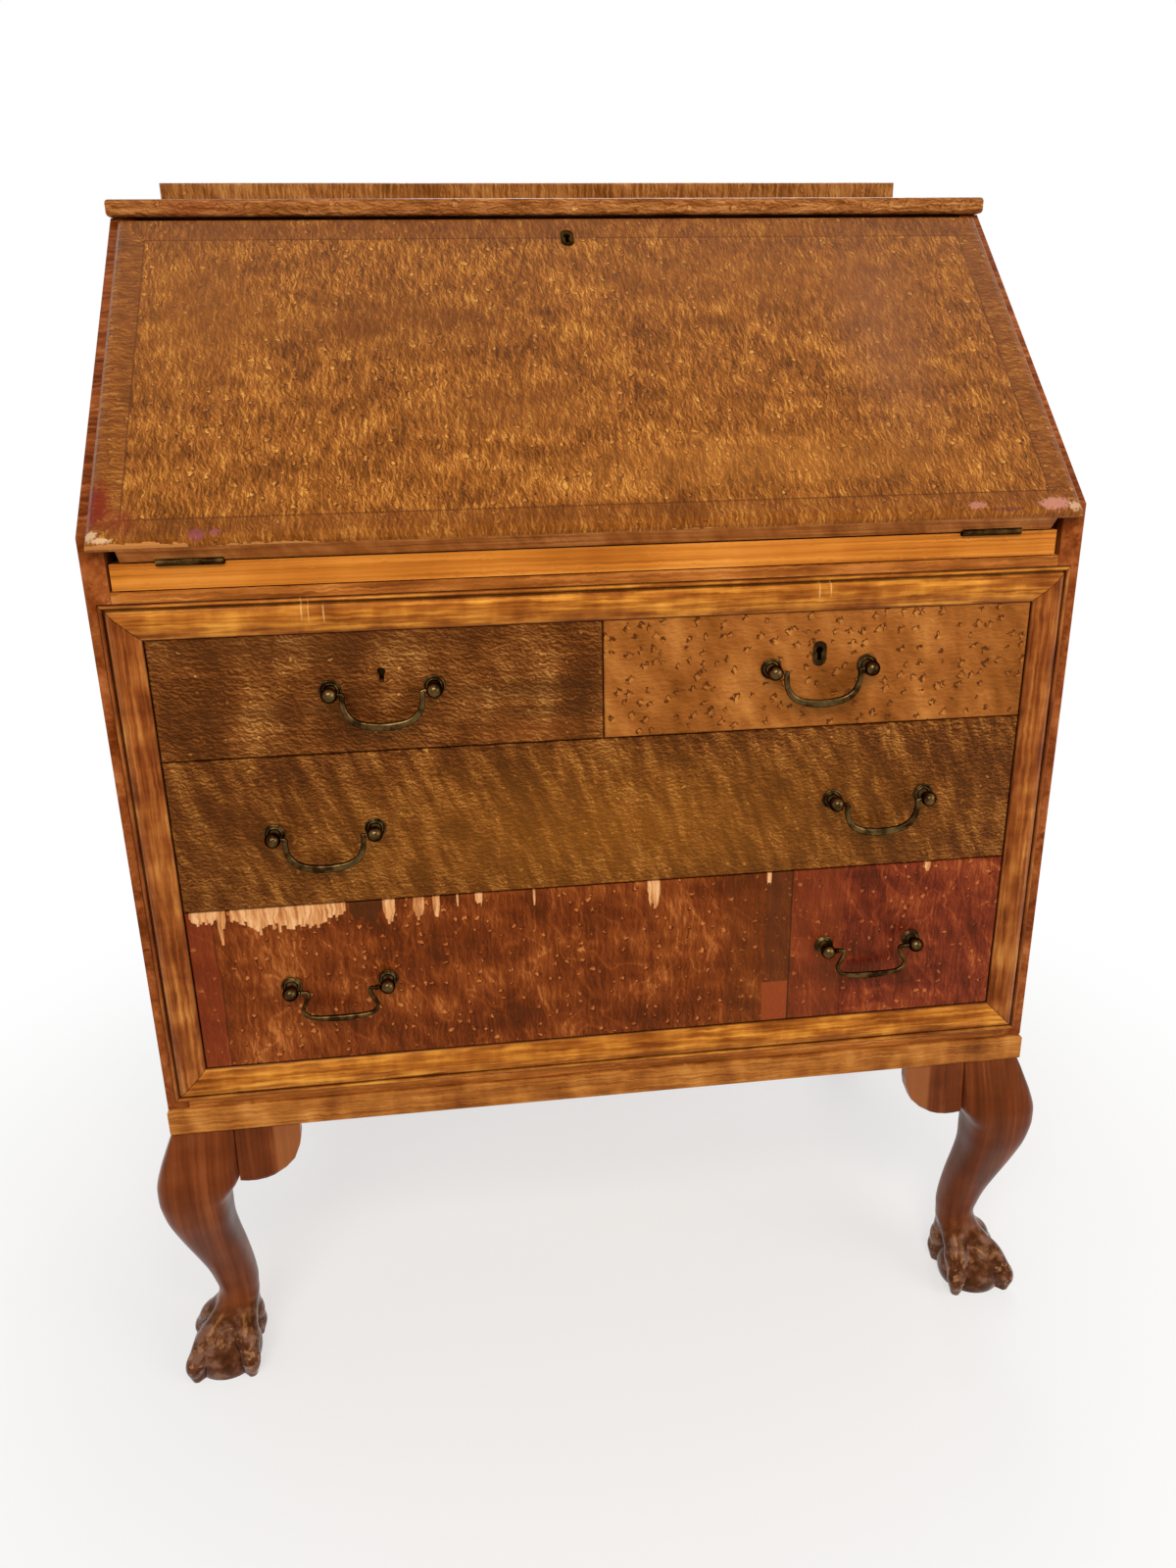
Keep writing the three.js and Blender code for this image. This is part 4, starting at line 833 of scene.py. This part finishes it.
def leg_surface(heights, turns):
    """Points of the leg in its own axes, with marks for the foot's dark skin and for its worn ridges."""
    z = heights[:, None]
    shift = smooth_through(LEG_STATIONS[:, 0], LEG_STATIONS[:, 1], heights)
    half = smooth_through(LEG_STATIONS[:, 0], LEG_STATIONS[:, 2], heights)[:, None]
    power = smooth_through(LEG_STATIONS[:, 0], LEG_STATIONS[:, 3], heights)[:, None]
    way = np.stack([np.cos(turns), np.sin(turns)], -1)[None]
    middle = np.stack([shift, -shift], -1)[:, None]
    square = (np.abs(way[..., 0]) ** power + np.abs(way[..., 1]) ** power) ** (-1 / power)
    shaft = half * square
    ball_at = np.array([BALL_SHIFT, -BALL_SHIFT])
    ball_radius = np.sqrt(np.maximum(BALL_RADIUS**2 - (z - BALL_HEIGHT) ** 2, 0))
    ball = ray_to_disc(way, middle, ball_at, ball_radius)

    steps = np.linspace(0, 1, 60)
    knots = np.linspace(0, 1, len(TALON))
    out, rise, thick, lean = (smooth_through(knots, TALON[:, i], steps) for i in range(4))
    thick = thick * (1 + KNUCKLES * np.sin(steps * 19 + 0.6) * ease(steps, 0.2, 0.35))
    talons = np.zeros((len(heights), len(turns)))
    for turn in TALON_TURNS:
        centres = np.stack([lean + np.cos(turn) * out, np.sin(turn) * out - lean], -1)
        slices = np.sqrt(np.maximum(thick**2 - (z - rise) ** 2, 0))
        reach = ray_to_disc(way[:, :, None], middle[:, :, None], centres[None, None], slices[:, None])
        talons = np.maximum(talons, reach.max(-1))
    between = np.abs(np.sin(2 * (turns + math.pi / 4)))[None]
    hem = HEM + HEM_ARCH * between**2
    web = (ball + WEB_THICKNESS + 4 * ease(z, 40, 62)) * ease(z, hem - 1.2, hem + 1.2) * (1 - ease(z, 50, 66))
    tendons = np.sin(11 * turns[None] + 0.12 * z) * np.sin(3 * turns[None] - 0.09 * z + 1.0)
    gouge = np.sin(23 * turns[None] - 0.21 * z) * np.sin(0.31 * z + 5 * turns[None])
    web = web + np.where(web > 0, TENDON_DEPTH * tendons + GOUGE_DEPTH * gouge, 0)
    # The greatest distance, taken smoothly as the logarithm of summed exponentials: the hollows are filled by about
    # fill mm, and the last term takes back what terms of equal height would add.
    fill = 1.1 + 1.2 * ease(z, 12, 32)
    terms = np.stack([shaft, ball, talons, web]) / fill
    peak = terms.max(0)
    reach = fill * (peak + np.log(np.exp(terms - peak).sum(0)) - math.log(1.4))
    reach = np.where(z > FOOT_TOP, shaft, reach + (shaft - reach) * ease(z, FOOT_TOP - 14, FOOT_TOP))
    grid = np.concatenate([middle + reach[..., None] * way, np.broadcast_to(z[..., None], reach.shape + (1,))], -1)
    foot = 1 - ease(z, 48, 74) + 0 * reach
    ridge = ease(talons - np.maximum(ball, shaft), -0.5, 3.5) * (1 - ease(z, 20, 60))
    return grid, foot, ridge


# %% [markdown]
# The four legs are sawn from one pattern, so one grid is turned about the upright axis for each corner. Its rows lie
# closest in the foot, where the carving is.

# %% Legs
def turned(grid, degrees, x, y):
    """A grid turned about the leg's own upright axis and set at x and y, in metres."""
    c, s = math.cos(math.radians(degrees)), math.sin(math.radians(degrees))
    spin = np.array([[c, -s, 0], [s, c, 0], [0, 0, 1]])
    return grid @ spin.T * MM + place(x, y, 0)


foot_heights = np.linspace(0, FOOT_TOP, 100)
shaft_heights = np.linspace(FOOT_TOP, LEG_HEIGHT, 90)[1:]
leg_grid, foot_mark, ridge_mark = leg_surface(
    np.concatenate([foot_heights, shaft_heights]), np.linspace(0, 2 * math.pi, 168, endpoint=False)
)
case_depth = (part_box("side_left")[1].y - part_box("side_left")[0].y) / MM
LEG_X, LEG_FRONT = 355.5, 25.5
LEG_PLACES = {
    "front_right": (0, LEG_X, LEG_FRONT),
    "front_left": (-90, -LEG_X, LEG_FRONT),
    "rear_left": (180, -LEG_X, case_depth - LEG_FRONT),
    "rear_right": (90, LEG_X, case_depth - LEG_FRONT),
}
for corner, (degrees, x, y) in LEG_PLACES.items():
    leg = closed_skin(
        f"carved_leg_{corner}", turned(leg_grid, degrees, x, y), finishes["leg"], foot=foot_mark, ridge=ridge_mark
    )
    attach(leg, "case")
    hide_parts(f"leg_{corner}")
print("leg grid:", leg_grid.shape, "widest reach in mm:", np.abs(leg_grid[..., 0]).max().round(1))

# %% [markdown]
# A bail handle is a swinging loop between two turned posts. A post is lathe work, so it is a profile spun about the
# axis that stands out from the drawer: a stepped rosette, a short neck and a ball. The bail is a bent bar, so it is a
# section carried along a path. It is thin where its pins turn in the balls and thick in the middle, where it is held.

# %% Posts
POST_FACE, POST_REACH, BALL, NECK = 1.7, 13.0, 6.3, 3.8
POST_HALF_SPACING = 39.5
# radius and height from the drawer's face: the rosette's rim, its groove, its inner ring, and the neck
ROSETTE = np.array([
    (8.5, 0.0), (8.6, 0.5), (8.35, 1.15), (7.8, 1.45), (7.35, 1.3), (7.0, 1.05), (6.65, 1.3), (6.3, 2.0), (5.8, 2.4),
    (5.2, 2.35), (4.8, 2.15), (4.5, 2.5), (4.1, 3.2), (3.2, 3.8), (2.9, 4.8), (2.9, 5.6), (3.5, 6.3), (3.9, 6.8),
    (3.7, 7.4),
])


def post_surface(x, z, columns=44):
    """Rosette, neck and ball spun about the axis through x and z. The ball is an arc of radius 6.3 mm."""
    start = math.asin(NECK / BALL)
    arc = np.linspace(math.pi - start, 0.02, 26)
    ball = np.stack([BALL * np.sin(arc), POST_REACH + BALL * np.cos(arc)], -1)
    profile = np.concatenate([ROSETTE, ball])
    turns = np.linspace(0, 2 * math.pi, columns, endpoint=False)
    radius, height = profile[:, :1], profile[:, 1:]
    grid = np.stack([x + radius * np.cos(turns), POST_FACE - height + 0 * turns, z + radius * np.sin(turns)], -1)
    return grid * MM + place(0, 0, 0)


# %% [markdown]
# The bails of the upper two rows are plain half loops. Those of the lowest drawer are bent like a swan's neck, and
# have two small rings next to each post. Half of a loop is written down, and the other half is its mirror image.

# %% Bails
BEVEL = 2.6  # the power of the bar's rounded square
# across from the middle and down from the pins, half the bar's height in the loop's plane, and half its thickness
PLAIN_BAIL = np.array([
    (33.3, 0, 1.3, 1.3), (31.6, 0, 1.5, 1.5), (30.4, 0.6, 2.1, 1.9), (30.2, 3.5, 2.1, 2.0), (29.9, 9, 2.2, 2.1),
    (28.2, 15, 2.4, 2.2), (24.2, 20.6, 2.7, 2.2), (18, 24.2, 2.9, 2.3), (10, 26.2, 3.2, 2.3), (0, 27, 3.3, 2.3),
])
SWAN_BAIL = np.array([
    (33.3, 0, 1.3, 1.3), (32.2, 0, 2.6, 2.6), (31.2, 0, 1.5, 1.5), (30.2, 0, 2.5, 2.5), (29.2, 0, 1.6, 1.6),
    (26.6, 0.1, 1.8, 1.8), (25.2, 1.6, 1.9, 1.9), (25.7, 5.2, 1.7, 1.8), (28.2, 10.2, 1.6, 1.7), (30.2, 15, 1.6, 1.7),
    (29.4, 19.5, 1.7, 1.8), (25.4, 23, 1.9, 1.9), (18.5, 24.6, 2.1, 2.0), (9, 25.5, 2.6, 2.1), (0, 25.8, 2.8, 2.2),
])


def bail_surface(knots, x, z, rows=170, columns=20):
    """A bevelled bar carried along half a loop and its mirror image.

    A point is the path, plus the path's normal times a height, plus the drawer's outward axis times a thickness. Both
    follow a rounded square, which gives the cast bar its soft bevels.
    """
    half = np.concatenate([knots, knots[-2::-1] * (-1, 1, 1, 1)])
    legs = np.hypot(*np.diff(half[:, :2], axis=0).T)
    length = np.concatenate([[0], np.cumsum(legs)])
    at = np.linspace(0, length[-1], rows)
    across, down, tall, thick = (smooth_through(length, half[:, i], at) for i in range(4))
    slope = np.stack([np.gradient(across, at), -np.gradient(down, at)], -1)
    slope /= np.linalg.norm(slope, axis=1, keepdims=True)
    turns = np.linspace(0, 2 * math.pi, columns, endpoint=False)
    up = np.sign(np.cos(turns)) * np.abs(np.cos(turns)) ** (2 / BEVEL)
    out = np.sign(np.sin(turns)) * np.abs(np.sin(turns)) ** (2 / BEVEL)
    rise = tall[:, None] * up
    px = x + across[:, None] - slope[:, 1:] * rise
    pz = z - down[:, None] + slope[:, :1] * rise
    py = POST_FACE - POST_REACH + thick[:, None] * out
    return np.stack([px, py, pz], -1) * MM + place(0, 0, 0)


HANDLES = {
    "upper_left": ("drawer_upper_left", PLAIN_BAIL),
    "upper_right": ("drawer_upper_right", PLAIN_BAIL),
    "middle_left": ("drawer_middle", PLAIN_BAIL),
    "middle_right": ("drawer_middle", PLAIN_BAIL),
    "lower_left": ("drawer_lower", SWAN_BAIL),
    "lower_right": ("drawer_lower", SWAN_BAIL),
}
for place_name, (drawer, loop) in HANDLES.items():
    swing = next(joint for joint in frame["joints"] if joint["child"] == f"bail_{place_name}")
    x, z = swing["pos_m"][0] / MM, swing["pos_m"][2] / MM
    for end, side in (("left", -1), ("right", 1)):
        post = closed_skin(
            f"turned_post_{place_name}_{end}", post_surface(x + side * POST_HALF_SPACING, z), finishes["brass"], 50
        )
        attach(post, drawer)
        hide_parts(f"handle_{place_name}_post_{end}")
    bail = closed_skin(f"cast_bail_{place_name}", bail_surface(loop, x, z), finishes["brass"], 60)
    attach(bail, f"bail_{place_name}")
    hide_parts(f"handle_{place_name}_bail")
print("handles:", len(HANDLES))

# %% [markdown]
# The stage is a pale floor and a white surround. Seen directly or in a reflection the surround is plain white, and for
# the light that it sheds on the desk it is dimmer, so that the lamps still model the forms. The floor fades into
# white away from the desk and keeps the desk's shadow near it.

# %% Floor and surround
WHITE, SURROUND_LIGHT = (1, 1, 1, 1), 0.35
# half the floor's width, where it begins to fade and is white, and how white it is next to the desk
FLOOR_REACH, FADE_NEAR, FADE_FAR, NEAR_WHITE = 12.0, 0.3, 1.0, 0.55


def seen_plainly(tree):
    """1 for the rays that show a thing itself: to the camera, through glass, or off a shiny face."""
    rays = add(tree, "LightPath").outputs
    seen = add(tree, "Math MAXIMUM", rays["Is Camera Ray"], rays["Is Transmission Ray"])
    return add(tree, "Math MAXIMUM", seen, rays["Is Glossy Ray"])


world = bpy.data.worlds.new("white_surround")
bpy.context.scene.world = world
world.use_nodes = True
surround = world.node_tree
surround.nodes.clear()
dim, white = (add(surround, "Background", WHITE, strength) for strength in (SURROUND_LIGHT, 1.0))
add(surround, "OutputWorld", add(surround, "MixShader", seen_plainly(surround), dim, white))

floor_mesh = bpy.data.meshes.new("floor")
corners = [(x * FLOOR_REACH, y * FLOOR_REACH, 0) for x, y in ((-1, -1), (1, -1), (1, 1), (-1, 1))]
floor_mesh.from_pydata(corners, [], [(0, 1, 2, 3)])
floor = bpy.data.objects.new("floor", floor_mesh)
bpy.context.scene.collection.objects.link(floor)
pale, tree, surface = new_material("pale_floor", 0.9)
surface.inputs["Base Color"].default_value = linear("f4f4f3")
surface.inputs["Specular IOR Level"].default_value = 0.0
away = add(tree, "VectorMath LENGTH", add(tree, "TexCoord").outputs["Object"]).outputs["Value"]
fade = add(tree, "MapRange", away, FADE_NEAR, FADE_FAR, NEAR_WHITE, 1.0, interpolation_type="SMOOTHSTEP")
fade = add(tree, "Math MULTIPLY", fade, seen_plainly(tree))
mixed = add(tree, "MixShader", fade, surface, add(tree, "Emission", WHITE, 1.0))
wire(tree, mixed, tree.nodes["Material Output"].inputs["Surface"])
floor.data.materials.append(pale)
print("floor:", 2 * FLOOR_REACH, "m wide, white beyond", FADE_FAR, "m")

# %% [markdown]
# Four soft boxes stand in for the room's windows: a large key at the left, a larger fill at the right, a small warm
# one close above the front that wakes the varnish, and one behind for the back edges and the floor.

# %% Lamps
DESK_MIDDLE = Vector((0, 0, 0.55))


def lamp(name, position, size, power, colour="ffffff"):
    """A square soft box at position, in metres, turned to the middle of the desk."""
    light = bpy.data.lights.new(name, "AREA")
    light.size = size
    light.energy = power
    light.color = linear(colour)[:3]
    obj = bpy.data.objects.new(name, light)
    obj.location = position
    obj.rotation_euler = (DESK_MIDDLE - Vector(position)).to_track_quat("-Z", "Y").to_euler()
    bpy.context.scene.collection.objects.link(obj)


lamp("key_soft_box", (-0.8, -2.4, 2.3), 1.3, 36.0)
lamp("fill_soft_box", (2.2, -2.0, 1.4), 1.8, 26.0)
lamp("near_soft_box", (0.1, -1.5, 1.75), 0.35, 7.0, "ffe6c0")
lamp("back_soft_box", (0.6, 2.4, 2.4), 1.6, 30.0)
print("lamps:", [light.name for light in bpy.data.lights])

# %% [markdown]
# The camera stands where the photographer stood, a little left of the desk and a little under its top, looking down.
# Its direction is given by its yaw, pitch and roll, and the lens by its focal length in pixels of a picture that is
# 1600 pixels high.

# %% Camera
yaw, pitch, roll = -0.12512, -0.35194, -0.017108
lens_pixels, picture_height, sensor = 1214.31, 1600, 36.0
camera = bpy.data.cameras.new("camera")
camera.sensor_fit = "VERTICAL"
camera.sensor_height = sensor
camera.lens = lens_pixels / picture_height * sensor
camera.clip_start = 0.01
viewer = bpy.data.objects.new("camera", camera)
turn = Matrix.Rotation(yaw, 4, "Z") @ Matrix.Rotation(math.pi / 2 + pitch, 4, "X") @ Matrix.Rotation(roll, 4, "Z")
viewer.matrix_world = Matrix.Translation(Vector(place(-129.5, -893.8, 889.3))) @ turn
bpy.context.scene.collection.objects.link(viewer)
bpy.context.scene.camera = viewer
bpy.context.scene.view_settings.view_transform = "Standard"
print("lens in mm:", round(camera.lens, 2), "camera at", [round(v, 3) for v in viewer.location])
